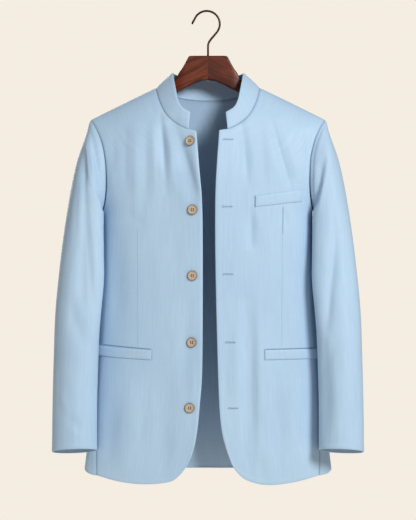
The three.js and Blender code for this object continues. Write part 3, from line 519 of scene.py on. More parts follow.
def make_object(
    name: str, points: Array, faces: Faces, uv: Array | None = None, values: dict[str, Array] | None = None
) -> Piece:
    """A smooth mesh object at the origin.

    Args:
        name: the piece's name.
        points: (n, 3) places in millimetres.
        faces: corner numbers of each face.
        uv: (n, 2) lengths along the cloth in millimetres, kept in metres as the map "cloth".
        values: numbers per corner, kept as attributes.

    Returns:
        The new object.
    """
    mesh = bpy.data.meshes.new(name)
    mesh.from_pydata((np.asarray(points) * MM).tolist(), [], [list(map(int, face)) for face in faces])
    mesh.polygons.foreach_set("use_smooth", np.ones(len(mesh.polygons), bool))
    if uv is not None:
        corners = np.zeros(len(mesh.loops), np.int32)
        mesh.loops.foreach_get("vertex_index", corners)
        layer = mesh.uv_layers.new(name="cloth")
        layer.data.foreach_set("uv", (uv[corners] * MM).astype(np.float32).ravel())
    for key, value in (values or {}).items():
        attribute = mesh.attributes.new(key, "FLOAT", "POINT")
        attribute.data.foreach_set("value", np.asarray(value, np.float32))
    mesh.update()
    made = bpy.data.objects.new(name, mesh)
    bpy.context.scene.collection.objects.link(made)
    return made


def settle(piece: Piece, material: bpy.types.Material, slot: str, *nodes: str) -> None:
    """Gives a piece its material and body, and hides the nodes that it stands for.

    Args:
        piece: the finished mesh object.
        material: its finish.
        slot: not used.
        nodes: CAD nodes that it replaces.
    """
    piece.data.materials.append(material)
    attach(piece, BODY)
    if nodes:
        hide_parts(*nodes)


@dataclass
class Shell:
    """A closed wall between an outer and an inner grid, with a rounded rim round each border."""

    outer: Array
    inner: Array
    bulge: Array | float
    seam: Array | float = 0.0
    ring: bool = False
    steps: int = 3

    def borders(self) -> list[Array]:
        """Borders: both end rings of a tube, or the one way round a sheet.

        Returns:
            Corner numbers round each border.
        """
        number = np.arange(self.outer[..., 0].size).reshape(self.outer.shape[:2])
        if self.ring:
            return [number[0][::-1], number[-1]]
        return [np.concatenate([number[0, ::-1], number[1:, 0], number[-1, 1:], number[-2:0:-1, -1]])]

    def inward(self) -> Array:
        """Steps from the grid's borders towards its middle.

        Returns:
            (n, 3) unit steps, 0 inside the grid.
        """
        step = np.zeros_like(self.outer)
        step[0] += self.outer[1] - self.outer[0]
        step[-1] += self.outer[-2] - self.outer[-1]
        if not self.ring:
            step[:, 0] += unit(self.outer[:, 1] - self.outer[:, 0])
            step[:, -1] += unit(self.outer[:, -2] - self.outer[:, -1])
        return unit(step).reshape(-1, 3)

    def lengths(self) -> Array:
        """Lengths along the outer grid's rows and columns; a tube's rings all take their mean length down it.

        Returns:
            (n, 2) lengths in millimetres.
        """
        down = run_lengths(self.outer, 0)
        if self.ring:
            down = np.broadcast_to(down.mean(1, keepdims=True), down.shape)
        return np.stack([run_lengths(self.outer, 1), down], -1).reshape(-1, 2)

    def make(self, name: str) -> Piece:
        """Joins the grids: outer cells, inner cells turned over, and strips that bulge by a half sine round borders.

        Args:
            name: the piece's name.

        Returns:
            The piece, with its cloth map and its seam darkening, which also holds painted shade.
        """
        rows, columns = self.outer.shape[:2]
        layer = rows * columns
        cells = quads(rows, columns, self.ring)
        points = [self.outer.reshape(-1, 3), self.inner.reshape(-1, 3)]
        faces = [cells, layer + cells[:, ::-1]]
        corners = [np.arange(layer)] * 2
        bulge = np.broadcast_to(self.bulge, (rows, columns)).ravel()
        step_in = self.inward()
        for loop in self.borders():
            last = loop
            for share in np.arange(1, self.steps) / self.steps:
                now = sum(map(len, points)) + np.arange(len(loop))
                middle = points[0][loop] * (1 - share) + points[1][loop] * share
                points.append(middle - step_in[loop] * (bulge[loop] * math.sin(math.pi * share))[:, None])
                corners.append(loop)
                faces.append(strip(last, now))
                last = now
            faces.append(strip(last, layer + loop))
        own = np.concatenate(corners)
        everywhere = np.concatenate(points)
        seam = np.broadcast_to(self.seam, (rows, columns)).ravel()[own]
        turned = outward(everywhere, np.concatenate(faces))
        return make_object(name, everywhere, turned, self.lengths()[own], {"seam": seam})


# Shader maths


@dataclass
class Value:
    """A shader socket that can be reckoned with."""

    tree: Shader
    socket: bpy.types.NodeSocket

    def _maths(self, operation: str, *others: Value | float, clamp: bool = False) -> Value:
        """One Math node on this value and others."""
        settings = {"operation": operation, "use_clamp": clamp}
        return self.tree.node("ShaderNodeMath", settings, dict(enumerate((self, *others))))

    def __add__(self, other: Value | float) -> Value:
        """Sum."""
        return self._maths("ADD", other)

    __radd__ = __add__

    def __mul__(self, other: Value | float) -> Value:
        """Product."""
        return self._maths("MULTIPLY", other)

    __rmul__ = __mul__

    def __sub__(self, other: Value | float) -> Value:
        """Difference."""
        return self._maths("SUBTRACT", other)

    def __rsub__(self, other: float) -> Value:
        """A number less this value."""
        return self * -1.0 + other

    def __truediv__(self, other: Value | float) -> Value:
        """Quotient."""
        return self._maths("DIVIDE", other)

    def __pow__(self, power: float) -> Value:
        """Power."""
        return self._maths("POWER", power)

    def __abs__(self) -> Value:
        """Size without sign."""
        return self._maths("ABSOLUTE")

    def sine(self) -> Value:
        """Sine."""
        return self._maths("SINE")

    def most(self, other: Value | float) -> Value:
        """The larger."""
        return self._maths("MAXIMUM", other)

    def clamped(self) -> Value:
        """Held between 0 and 1."""
        return self._maths("ADD", 0.0, clamp=True)

    def near(self, centre: float, width: float) -> Value:
        """1 at a centre and 0 a width away, (1 - distance/width)²."""
        return (1.0 - abs(self - centre) / width).clamped() ** 2


class Shader:
    """A material's nodes, made one call at a time."""

    def __init__(self, name: str) -> None:
        """Starts an empty material.

        Args:
            name: the material's name.
        """
        self.material = bpy.data.materials.new(name)
        self.material.use_nodes = True
        self.nodes = self.material.node_tree.nodes
        self.links = self.material.node_tree.links
        self.nodes.clear()

    def node(self, kind: str, settings: dict | None = None, inputs: dict | None = None, output: int | str = 0) -> Value:
        """Adds a node.

        Args:
            kind: the node's type.
            settings: attributes set first; "stops" are a ramp's (place, colour) pairs.
            inputs: socket number or name to a number, a colour or a Value.
            output: which output comes back.

        Returns:
            The output as a Value.
        """
        node = self.nodes.new(kind)
        for key, value in (settings or {}).items():
            if key == "stops":
                ramp = node.color_ramp
                while len(ramp.elements) < len(value):
                    ramp.elements.new(0.5)
                for element, (at, colour) in zip(ramp.elements, value):
                    element.position, element.color = at, colour
            else:
                setattr(node, key, value)
        for key, value in (inputs or {}).items():
            socket = node.inputs[key]
            if isinstance(value, Value):
                self.links.new(value.socket, socket)
            else:
                socket.default_value = value
        return Value(self, node.outputs[output])

    def mix(self, share: Value | float, first: object, second: object, blend: str = "MIX") -> Value:
        """Mixes two colours by a share."""
        settings = {"data_type": "RGBA", "blend_type": blend}
        return self.node("ShaderNodeMix", settings, {0: share, 6: first, 7: second}, output=2)

    def place(self) -> Value:
        """Object coordinates in metres."""
        return self.node("ShaderNodeTexCoord", output="Object")

    def cloth_map(self) -> Value:
        """The piece's own map of lengths along the cloth, in metres."""
        return self.node("ShaderNodeUVMap", {"uv_map": "cloth"})

    def parts(self, vector: Value) -> tuple[Value, ...]:
        """The three numbers of a vector."""
        return tuple(self.node("ShaderNodeSeparateXYZ", None, {0: vector}, axis) for axis in range(3))

    def attribute(self, name: str) -> Value:
        """A number kept on the piece's corners."""
        return self.node("ShaderNodeAttribute", {"attribute_name": name}, output="Fac")

    def noise(
        self, at: Value, detail: float, scale: float = 1.0, stretch: Colour | None = None, **more: float
    ) -> Value:
        """Noise at a place, stretched by three scales if they are given."""
        at = at if stretch is None else self.node("ShaderNodeMapping", None, {"Vector": at, "Scale": stretch})
        return self.node("ShaderNodeTexNoise", None, {"Vector": at, "Scale": scale, "Detail": detail, **more})

    def bump(self, height: Value, strength: float, distance: float) -> Value:
        """Normal of a small relief."""
        return self.node("ShaderNodeBump", None, {"Height": height, "Strength": strength, "Distance": distance})

    def finish(
        self, base: object, roughness: object, normal: Value | None = None, **constants: object
    ) -> bpy.types.Material:
        """Ends in one principled shader.

        Args:
            base: its colour.
            roughness: its roughness.
            normal: its bumped normal.
            constants: what is set on its other sockets, which are named with _ for a space.

        Returns:
            The material.
        """
        inputs = {"Base Color": base, "Roughness": roughness}
        if normal is not None:
            inputs["Normal"] = normal
        inputs.update({key.replace("_", " "): value for key, value in constants.items()})
        shader = self.node("ShaderNodeBsdfPrincipled", None, inputs)
        output = self.nodes.new("ShaderNodeOutputMaterial")
        self.links.new(shader.socket, output.inputs["Surface"])
        return self.material


def linear(*screen: float) -> tuple[float, ...]:
    """A screen colour from 0 to 255 as linear light."""
    tones = [value / 255 for value in screen]
    return (*(tone / 12.92 if tone <= 0.04045 else ((tone + 0.055) / 1.055) ** 2.4 for tone in tones), 1.0)


def darker(colour: Colour, share: float) -> tuple[float, ...]:
    """A share of a screen colour as linear light."""
    return linear(*(share * part for part in colour))


# Finishes


@dataclass(frozen=True)
class Mark:
    """A fine straight dark line on a front, drawn as a dart seam and as painted shade: where it runs as seen from the
    front, its width and how dark it is.
    """

    from_x: float
    from_z: float
    to_x: float
    to_z: float
    width: float = 1.3
    dark: float = 0.5
    end_fade: float = 4.0

    def mask(self, x: Value, z: Value) -> Value:
        """Darkness at a place: a hump across the line, which rises evenly over its ends.

        Args:
            x: places across, in metres.
            z: heights, in metres.

        Returns:
            The mark's darkness, 0 away from it.
        """
        length = math.hypot(self.to_x - self.from_x, self.to_z - self.from_z)
        ux, uz = (self.to_x - self.from_x) / length, (self.to_z - self.from_z) / length
        along = x * ux + z * uz - (self.from_x * ux + self.from_z * uz) * MM
        off = x * uz - z * ux - (self.from_x * uz - self.from_z * ux) * MM
        fade = self.end_fade * MM
        ends = (along / fade).clamped() * ((length * MM - along) / fade).clamped()
        return off.near(0.0, self.width * MM) * ends * self.dark


@dataclass(frozen=True)
class ClothFinish:
    """Fine plain-woven cloth with a faint sheen."""

    name: str = "blue_cloth"
    colour: Colour = (176, 205, 231)
    shade: Colour = (166, 196, 224)
    # Dark blue for the seam lines and for painted shade: beside the sleeves, along the left sleeve's armhole, at the
    # pockets and in a fold.
    crease: Colour = (66, 98, 138)
    pale_thread: Colour = (245, 247, 250)
    pitch: float = 0.00062
    marks: tuple[Mark, ...] = ()

    def make(self) -> bpy.types.Material:
        """Weave bumps are the product of two fine sine waves along the cloth's map, with slubs from stretched noise.

        Thread streaks multiply a slow drift between two blues. Seams and marks are darker and sunk, and the dark colour
        also paints the shade that the seam attribute and most marks carry.

        Returns:
            The material.
        """
        s = Shader(self.name)
        cloth = s.cloth_map()
        u, v, _ = s.parts(cloth)
        weave = (u * (TURN / self.pitch)).sine() * (v * (TURN / self.pitch)).sine()
        slub = s.noise(cloth, 2.0, stretch=(260.0, 1900.0, 1.0))
        weft = s.noise(cloth, 3.0, stretch=(45.0, 620.0, 1.0))
        warp = s.noise(cloth, 3.0, stretch=(540.0, 14.0, 1.0))
        drift = s.noise(s.place(), 3.0, scale=7.0)
        blue = s.mix((drift * 1.6 - 0.3).clamped(), linear(*self.shade), linear(*self.colour))
        streaks = weft * 0.15 + warp * 0.85
        thread = s.mix((streaks * 4.0 - 1.5).clamped(), linear(*self.pale_thread), linear(255, 255, 255))
        # The seam attribute holds the seam lines and painted shade; the marks add dart seams and more painted shade.
        seam = s.attribute("seam") * 0.5
        x, _, z = s.parts(s.place())
        for mark in self.marks:
            seam = seam.most(mark.mask(x, z))
        colour = s.mix(seam.clamped(), s.mix(1.0, blue, thread, "MULTIPLY"), linear(*self.crease))
        return s.finish(
            colour,
            slub * 0.12 + 0.52,
            s.bump(weave * 0.35 + slub * 0.6 - seam * 9.0, 0.22, 0.00012),
            Sheen_Weight=0.22,
            Sheen_Roughness=0.45,
            Sheen_Tint=linear(232, 242, 252),
            Specular_IOR_Level=0.32,
        )


@dataclass(frozen=True)
class HornFinish:
    """Button of grey-beige horn: streaked, with painted shade on the rim and in the holes."""

    name: str = "button_horn"
    face: Colour = (204, 190, 172)
    streak: Colour = (170, 154, 136)
    rim: Colour = (112, 94, 80)
    hole: Colour = (44, 36, 30)

    def make(self) -> bpy.types.Material:
        """Streaks are stretched noise; painted shade darkens the rim by the button's own radius attribute, from 7.4 to
        9 mm.

        Returns:
            The material.
        """
        s = Shader(self.name)
        noise = s.noise(s.place(), 4.0, stretch=(160.0, 160.0, 620.0))
        radius = s.attribute("radius")
        # Painted shade: the rim and the groove at 6.5 mm go darker, and the pit attribute paints the holes dark brown.
        ring = ((radius - 7.4) / 1.6).clamped()
        groove = radius.near(6.5, 0.7)
        colour = s.mix((noise * 1.8 - 0.4).clamped(), linear(*self.streak), linear(*self.face))
        colour = s.mix((ring * 0.8 + groove * 0.35).clamped(), colour, linear(*self.rim))
        colour = s.mix(s.attribute("pit").clamped(), colour, linear(*self.hole))
        return s.finish(colour, noise * 0.15 + 0.3, s.bump(noise, 0.15, 0.0002), Specular_IOR_Level=0.5)


@dataclass(frozen=True)
class ThreadFinish:
    """Twisted sewing thread."""

    name: str
    colour: Colour
    pitch: float = 0.0007

    def make(self) -> bpy.types.Material:
        """Twist is a slanted sine band across the thread.

        Returns:
            The material.
        """
        s = Shader(self.name)
        x, y, z = s.parts(s.place())
        band = ((x + z * 0.8 + y * 0.5) * (TURN / self.pitch)).sine() * 0.5 + 0.5
        colour = s.mix(band, darker(self.colour, 0.8), linear(*self.colour))
        return s.finish(colour, 0.62, s.bump(band, 0.4, 0.0001), Sheen_Weight=0.2)


@dataclass(frozen=True)
class WalnutFinish:
    """Satin lacquered walnut whose grain slants down from the centre on both halves, mitred in the middle."""

    name: str = "walnut"
    dark: Colour = (44, 16, 7)
    middle: Colour = (88, 34, 15)
    light: Colour = (124, 57, 28)
    joint: Colour = (48, 20, 14)
    slant: float = math.radians(-24)

    def make(self) -> bpy.types.Material:
        """Grain is noise stretched along the slant, plus finer pores; the two halves read it at different places.

        Returns:
            The material.
        """
        s = Shader(self.name)
        x, y, z = s.parts(s.place())
        half = (x * 100000.0).clamped()
        reach = abs(x)
        along = reach * math.cos(self.slant) + z * math.sin(self.slant)
        across = z * math.cos(self.slant) - reach * math.sin(self.slant)
        grain_at = {0: along * 9.0 + half * 3.7, 1: across * 75.0 + half * 1.3, 2: y * 60.0}
        pores_at = {0: along * 60.0, 1: across * 1100.0, 2: y * 700.0}
        grain = s.noise(s.node("ShaderNodeCombineXYZ", None, grain_at), 5.0, Roughness=0.6, Distortion=0.8)
        pores = s.noise(s.node("ShaderNodeCombineXYZ", None, pores_at), 2.0)
        stops = ((0.3, linear(*self.dark)), (0.5, linear(*self.middle)), (0.68, linear(*self.light)))
        wood = s.node("ShaderNodeValToRGB", {"stops": stops}, {0: grain - half * 0.07 + 0.03})
        wood = s.mix((pores * 2.4 - 1.0).clamped() * 0.35, wood, linear(*self.dark))
        mitre = reach.near(0.0, 0.0007)
        colour = s.mix(mitre * 0.6, wood, linear(*self.joint))
        bump = s.bump(pores - mitre * 2.0, 0.12, 0.0003)
        return s.finish(colour, pores * 0.12 + 0.36, bump, Coat_Weight=0.06, Coat_Roughness=0.3, Specular_IOR_Level=0.3)


@dataclass(frozen=True)
class WireFinish:
    """Dark bronze wire with a drawn surface."""

    name: str = "bronze_wire"
    colour: Colour = (74, 46, 36)

    def make(self) -> bpy.types.Material:
        """Colour and roughness drift with fine noise.

        Returns:
            The material.
        """
        s = Shader(self.name)
        noise = s.noise(s.place(), 3.0, scale=420.0)
        colour = s.mix((noise * 1.6 - 0.3).clamped(), darker(self.colour, 0.72), linear(*self.colour))
        return s.finish(colour, noise * 0.2 + 0.26, s.bump(noise, 0.1, 0.0001), Metallic=0.75)


@dataclass
class ClothPiece:
    """A cut piece of the jacket's cloth: the node that it stands for, and the cut of what shows, in metres."""

    name: str
    node: str
    flat: tuple[float, float]
    area: float = 0.0
    marks: tuple[Mark, ...] = ()

    def cloth(self) -> bpy.types.Material:
        """Cloth finish with the piece's own marks, dart seams and painted shade."""
        return ClothFinish(f"cloth_{self.node}", marks=self.marks).make()

    def dress(self, piece: Piece) -> None:
        """Cloth finish."""
        settle(piece, self.cloth(), "cloth", self.node)


# Panels

FRONT_EDGE = {
    Side.RIGHT: (
        (23, -240.5), (17, -306), (12.4, -370), (10.8, -440), (10.8, -600),
        (12, -710), (16.4, -770), (21.6, -822), (30, -862), (42.3, -890),
    ),
    Side.LEFT: (
        (22.3, -238.5), (17.8, -300), (14.8, -360), (14.3, -440), (15.4, -530),
        (18, -640), (21.8, -758), (26.2, -814), (34, -850), (45.5, -884),
    ),
}
FRONT_HEM = {
    Side.RIGHT: ((42.3, -890), (56, -907), (76, -919.5), (123, -924.5), (170, -921), (218.5, -910)),
    Side.LEFT: ((45.5, -884), (58, -902), (79, -917.5), (118, -926), (168, -921.5), (218.5, -910)),
}
SEAM_FOOT_X, SEAM_FOOT_Z = FRONT_HEM[Side.LEFT][-1]
SIDE_SEAM_TURN = 1.25
BACK_HEM_SIDE_Z, BACK_HEM_CENTRE_Z = -902.0, -905.0
ARMHOLE_X, TIP_SWING, UNDER_SWING, UNDERARM_Z = 197.0, 34.0, 9.5, -391.0
NECK = Table(
    "seam_x seam_z top_x top_y top_z",
    (
        (38, -236, 34.4, -65, -203),
        (59, -225.5, 50.5, -62, -192.5),
        (79, -208, 58.5, -57, -177.5),
        (91, -187, 62.5, -49, -160),
        (98.5, -165, 66.5, -34, -139.5),
        (101, -149, 69.6, -10, -121.5),
        (88, -156.5, 66.5, 10, -121),
        (62, -165, 54, 29, -124.5),
        (32, -170, 30, 39, -129),
        (0, -171, 0, 42, -131),
    ),
)
# Dark lines on the wearer's right front: the dart seam, then painted shade in the hip pocket's mouth, at the welt's
# inner end and under its bottom edge.
RIGHT_DARTS_AND_PAINTED_SHADE = (
    Mark(-137, -423, -137.4, -658, 1.3, 0.34),
    Mark(-108.5, -662.3, -208, -654.2, 2.4, 1.0),
    Mark(-109.2, -660, -109.2, -686, 1.4, 0.6),
    Mark(-110, -683.6, -208, -675.6, 1.3, 0.4),
)
# Dark lines on the wearer's left front: the dart seam, painted shade in the fold below the chest welt, in the hip
# pocket's mouth, at the welt's inner end, under its bottom edge and at the chest welt's inner end.
LEFT_DARTS_AND_PAINTED_SHADE = (
    Mark(144.2, -386, 143.4, -658, 1.3, 0.34),
    Mark(145.4, -384, 144.6, -440, 3.2, 0.5),
    Mark(109, -662.4, 223, -660.8, 2.4, 1.0),
    Mark(109.2, -660, 109.2, -686, 1.4, 0.5),
    Mark(110, -683.4, 223, -682.0, 1.3, 0.35),
    Mark(90.4, -362, 90.6, -389, 1.8, 1.0),
)
# Where each sleeve's inner edge lies as seen from the front, down to its foot: the painted contact shade on the body
# follows it.
SLEEVE_EDGE = Table(
    "z x", ((-391, 204), (-450, 201.5), (-520, 202), (-600, 205.5), (-680, 212), (-760, 216.5), (-870, 218))
)
SLEEVE_EDGE_FOOT = -862.0
NECK_POINT_ROW, BACK_CENTRE_ROW, NECK_LAST = 5, 9, 18
EDGE_TOP, LEDGE_TOP, UNDERARM = 21 / 30, 22 / 30, 19 / 30
BACK_NECK_START, BACK_NECK_END = 13 / 38, 25 / 38
EDGE_CROWDING = 1.2
HEM_SHAPE_FADE = 3
EVEN_SHARE = 0.3


def round_neck(names: str) -> Array:
    """Columns of the neck table all the way round, from the left front end over the back to the right one."""
    left = np.stack([NECK.column(name) for name in names.split()], -1)
    return np.concatenate([left, left[-2::-1] * np.where(np.arange(left.shape[1]) == 0, -1, 1)])


def neck_place(row: Array) -> Array:
    """Places on the neck seam.

    Args:
        row: rows of the neck table, counted from the left front end over the back.

    Returns:
        Places.
    """
    seam = curve(round_neck("seam_x seam_z"), row / NECK_LAST)
    left = row <= BACK_CENTRE_ROW
    from_end = np.where(left, row, NECK_LAST - row)
    x = np.abs(seam[:, 0])
    front = bearing_at(x, seam[:, 1])
    bearing = np.where(from_end <= NECK_POINT_ROW, front, math.pi - front) * np.where(left, 1, -1)
    return with_fall(bearing, x, seam[:, 1])


def shoulder_places(side: float, face: Face, share: Array) -> Array:
    """Places on the shoulder line from the neck point (0) to the tip (1)."""
    x = NECK_X + (SHOULDER_TIP_X - NECK_X) * share
    return place(side, face, x, shoulder_line(x))


def armhole_place(side: float, face: Face, turn: Array) -> Array:
    """Places on the armhole by the turn from the shoulder tip (0) to the underarm (half a turn).

    The height goes by the turn's cosine. The distance out is the middle one plus two swings, which fade with the
    fourth power from the tip and the eighth from the underarm.

    Args:
        side: sign of X.
        face: front or back.
        turn: turns in radians.

    Returns:
        Places.
    """
    share = (1 - np.cos(turn)) / 2
    out = ARMHOLE_X + TIP_SWING * (1 - share) ** 4 + UNDER_SWING * share**8
    tip = float(shoulder_line(SHOULDER_TIP_X))
    return place(side, face, out, tip + (UNDERARM_Z - tip) * share)


def side_seam_places(side: float, up: Array) -> Array:
    """Places on the side seam from the hem (0) to the underarm (1); it turns out to the side as it rises.

    Args:
        side: sign of X.
        up: shares of the way up.

    Returns:
        Places, whose bearing leaves the side by a power of the way down.
    """
    down = 1 - up
    before_side = (RIGHT_ANGLE - bearing_at(SEAM_FOOT_X, SEAM_FOOT_Z)) * down**SIDE_SEAM_TURN
    return place_at_bearing(side, RIGHT_ANGLE - before_side, UNDERARM_Z + (SEAM_FOOT_Z - UNDERARM_Z) * down)


def side_border(side: float, face: Face, v: Array) -> Array:
    """Border from the hem up the side seam, then up the armhole to the shoulder tip.

    The armhole's share of its height is mostly (1 - cos πw)/2 of the way w down it, and partly w itself, so that its
    steps are never too short.

    Args:
        side: sign of X.
        face: front or back.
        v: shares of the way up.

    Returns:
        Places.
    """
    seam = side_seam_places(side, np.minimum(v / UNDERARM, 1))
    down = np.minimum((1 - v) / (1 - UNDERARM), 1)
    share = (1 - EVEN_SHARE) * (1 - np.cos(math.pi * down)) / 2 + EVEN_SHARE * down
    arm = armhole_place(side, face, np.arccos(np.clip(1 - 2 * share, -1, 1)))
    return np.where((v <= UNDERARM)[:, None], seam, arm)


def patch(bottom: Array, top: Array, left: Array, right: Array, u: Array, v: Array, side_fade: float = 1) -> Array:
    """Places inside four borders: the sum of both rulings less that of the corners.

    The bottom border's shape dies out with the third power of the way up, so rows pass level under the armholes. The
    bearings of the side borders die out with the side fade's power of the way in.

    Args:
        bottom: places along the bottom border.
        top: places along the top.
        left: places up the first side.
        right: places up the last side.
        u: shares along the bottom and top.
        v: shares up the sides.
        side_fade: power of the way in.

    Returns:
        (len(v), len(u), 2) places.
    """
    b = (1 - (1 - v) ** HEM_SHAPE_FADE)[:, None, None]
    power = np.array([side_fade, 1.0])
    from_left, from_right = (1 - u)[None, :, None] ** power, u[None, :, None] ** power
    across = bottom[None] * (1 - b) + top[None] * b
    upward = left[:, None] * from_left + right[:, None] * from_right
    foot = bottom[0] * from_left + bottom[-1] * from_right
    head = top[0] * from_left + top[-1] * from_right
    return across + upward - foot * (1 - b) - head * b


@dataclass
class Panel(ClothPiece):
    """A cloth panel of the body: a grid of places, its cloth wall, and its sewn and turned borders."""

    def grid(self) -> tuple[Array, Array, Array]:
        """Places, and how much each of the left and bottom borders is turned (1) and not sewn (0)."""
        raise NotImplementedError

    def build(self) -> Piece:
        """The wall: cloth points, dipped at the seams and rolled at the turned edges, and moved in by its thickness.

        Returns:
            The panel.
        """
        places, turned_left, turned_bottom = self.grid()
        points = body(places)
        normals = grid_normals(points)
        some = (slice(None, None, 40), slice(None, None, 20))
        if np.sum(normals[some] * body_normal(places[some])) < 0:
            normals = -normals
        across, up = run_lengths(points, 1), run_lengths(points, 0)
        # sewn starts as the painted contact shade beside the sleeves and then takes the darker seam lines; it darkens
        # the cloth's colour.
        relief, sewn = np.zeros(points.shape[:2]), self.painted_contact_shade(places, points)
        for distance, turned in (
            (across, turned_left[:, None]),
            (across[:, -1:] - across, 0.0),
            (up, turned_bottom[None, :]),
            (up[-1:] - up, 0.0),
        ):
            relief += SEWN.relief(distance) * (1 - turned) + TURNED.relief(distance) * turned
            sewn = np.maximum(sewn, bell(distance, SEAM_SHADE) * (1 - turned))
        outer = points + relief[..., None] * normals
        bulge = np.full(relief.shape, RIM_BULGE)
        bulge[:, 0] += FOLDED_BULGE * turned_left
        bulge[0, :] += FOLDED_BULGE * turned_bottom
        return Shell(outer, outer - CLOTH_WALL * normals, bulge, sewn).make(self.name)

    def painted_contact_shade(self, places: Array, points: Array) -> Array:
        """Painted shade on the front flank beside a sleeve's edge, the sum of a 4 mm and a 13 mm bell before it.

        Args:
            places: the panel's places.
            points: the panel's points.

        Returns:
            The painted shade, 0 above the underarm and below the cuff.
        """
        x, z = np.abs(points[..., 0]), points[..., 2]
        before = np.maximum(SLEEVE_EDGE.read("x", z) - x, 0)
        span = gentle(UNDERARM_Z - z, 12) * gentle(z - SLEEVE_EDGE_FOOT, 6) * gentle(np.cos(places[..., 0]), 0.15)
        return span * (0.85 * bell(before, 4) + 0.15 * bell(before, 13))


@dataclass
class FrontPanel(Panel):
    """One front: its free edge, the ledge beside the collar's end and the neck on the left border."""

    side: Side = Side.RIGHT

    def grid(self) -> tuple[Array, Array, Array]:
        """Places between the edge, hem, side seam with armhole, and shoulder.

        Returns:
            Places, and how much the free edge and the hem are turned.
        """
        sign = self.side.value
        u = lines(112, 215)
        v = lines(290, 760, (UNDERARM, EDGE_TOP, LEDGE_TOP))
        edge = by_length(np.array(FRONT_EDGE[self.side][::-1], float), np.minimum(v / EDGE_TOP, 1) ** EDGE_CROWDING)
        edge_places = place(sign, Face.FRONT, edge[:, 0], edge[:, 1])
        row = NECK_POINT_ROW * np.clip((v - LEDGE_TOP) / (1 - LEDGE_TOP), 0, 1)
        neck = neck_place(row if sign > 0 else NECK_LAST - row)
        ledge = np.clip((v - EDGE_TOP) / (LEDGE_TOP - EDGE_TOP), 0, 1)[:, None]
        left = edge_places * (1 - ledge) + neck * ledge
        hem = by_length(np.array(FRONT_HEM[self.side], float), u)
        bottom = place(sign, Face.FRONT, hem[:, 0], hem[:, 1])
        top = shoulder_places(sign, Face.FRONT, u)
        right = side_border(sign, Face.FRONT, v)
        return patch(bottom, top, left, right, u, v), 1.0 - gentle(v - LEDGE_TOP, 0.01), np.ones(len(u))


@dataclass
class BackPanel(Panel):
    """The back in one piece, from side seam to side seam."""

    side_fade: float = 4.0

    def grid(self) -> tuple[Array, Array, Array]:
        """Places from the left side seam (first column) over the back to the right one.

        Returns:
            Places, and how much the left seam (not) and the hem are turned.
        """
        u = lines(150, 560, (BACK_NECK_START, 0.5, BACK_NECK_END))
        v = lines(270, 760, (UNDERARM,))
        past = np.array([TURN, 0.0])
        left_shoulder = shoulder_places(1, Face.BACK, 1 - np.minimum(u / BACK_NECK_START, 1))
        right_shoulder = shoulder_places(-1, Face.BACK, np.clip((u - BACK_NECK_END) / (1 - BACK_NECK_END), 0, 1)) + past
        behind = np.clip((u - BACK_NECK_START) / (BACK_NECK_END - BACK_NECK_START), 0, 1)
        neck = neck_place(NECK_POINT_ROW + (NECK_LAST - 2 * NECK_POINT_ROW) * behind)
        neck[:, 0] = np.mod(neck[:, 0], TURN)
        top = np.where((u < BACK_NECK_END)[:, None], neck, right_shoulder)
        top = np.where((u <= BACK_NECK_START)[:, None], left_shoulder, top)
        left = side_border(1, Face.BACK, v)
        right = side_border(-1, Face.BACK, v) + past
        bearing = left[0, 0] + (right[0, 0] - left[0, 0]) * u
        from_centre = np.abs(bearing - math.pi)
        flank = gentle(from_centre - RIGHT_ANGLE, RIGHT_ANGLE - left[0, 0])
        side_z = BACK_HEM_SIDE_Z + (SEAM_FOOT_Z - BACK_HEM_SIDE_Z) * flank
        z = BACK_HEM_CENTRE_Z + (side_z - BACK_HEM_CENTRE_Z) * gentle(from_centre, RIGHT_ANGLE)
        bottom = np.stack([bearing, place_at_bearing(1, math.pi - from_centre, z)[:, 1]], -1)
        return patch(bottom, top, left, right, u, v, self.side_fade), np.zeros(len(v)), np.ones(len(u))


# Sleeves and collar

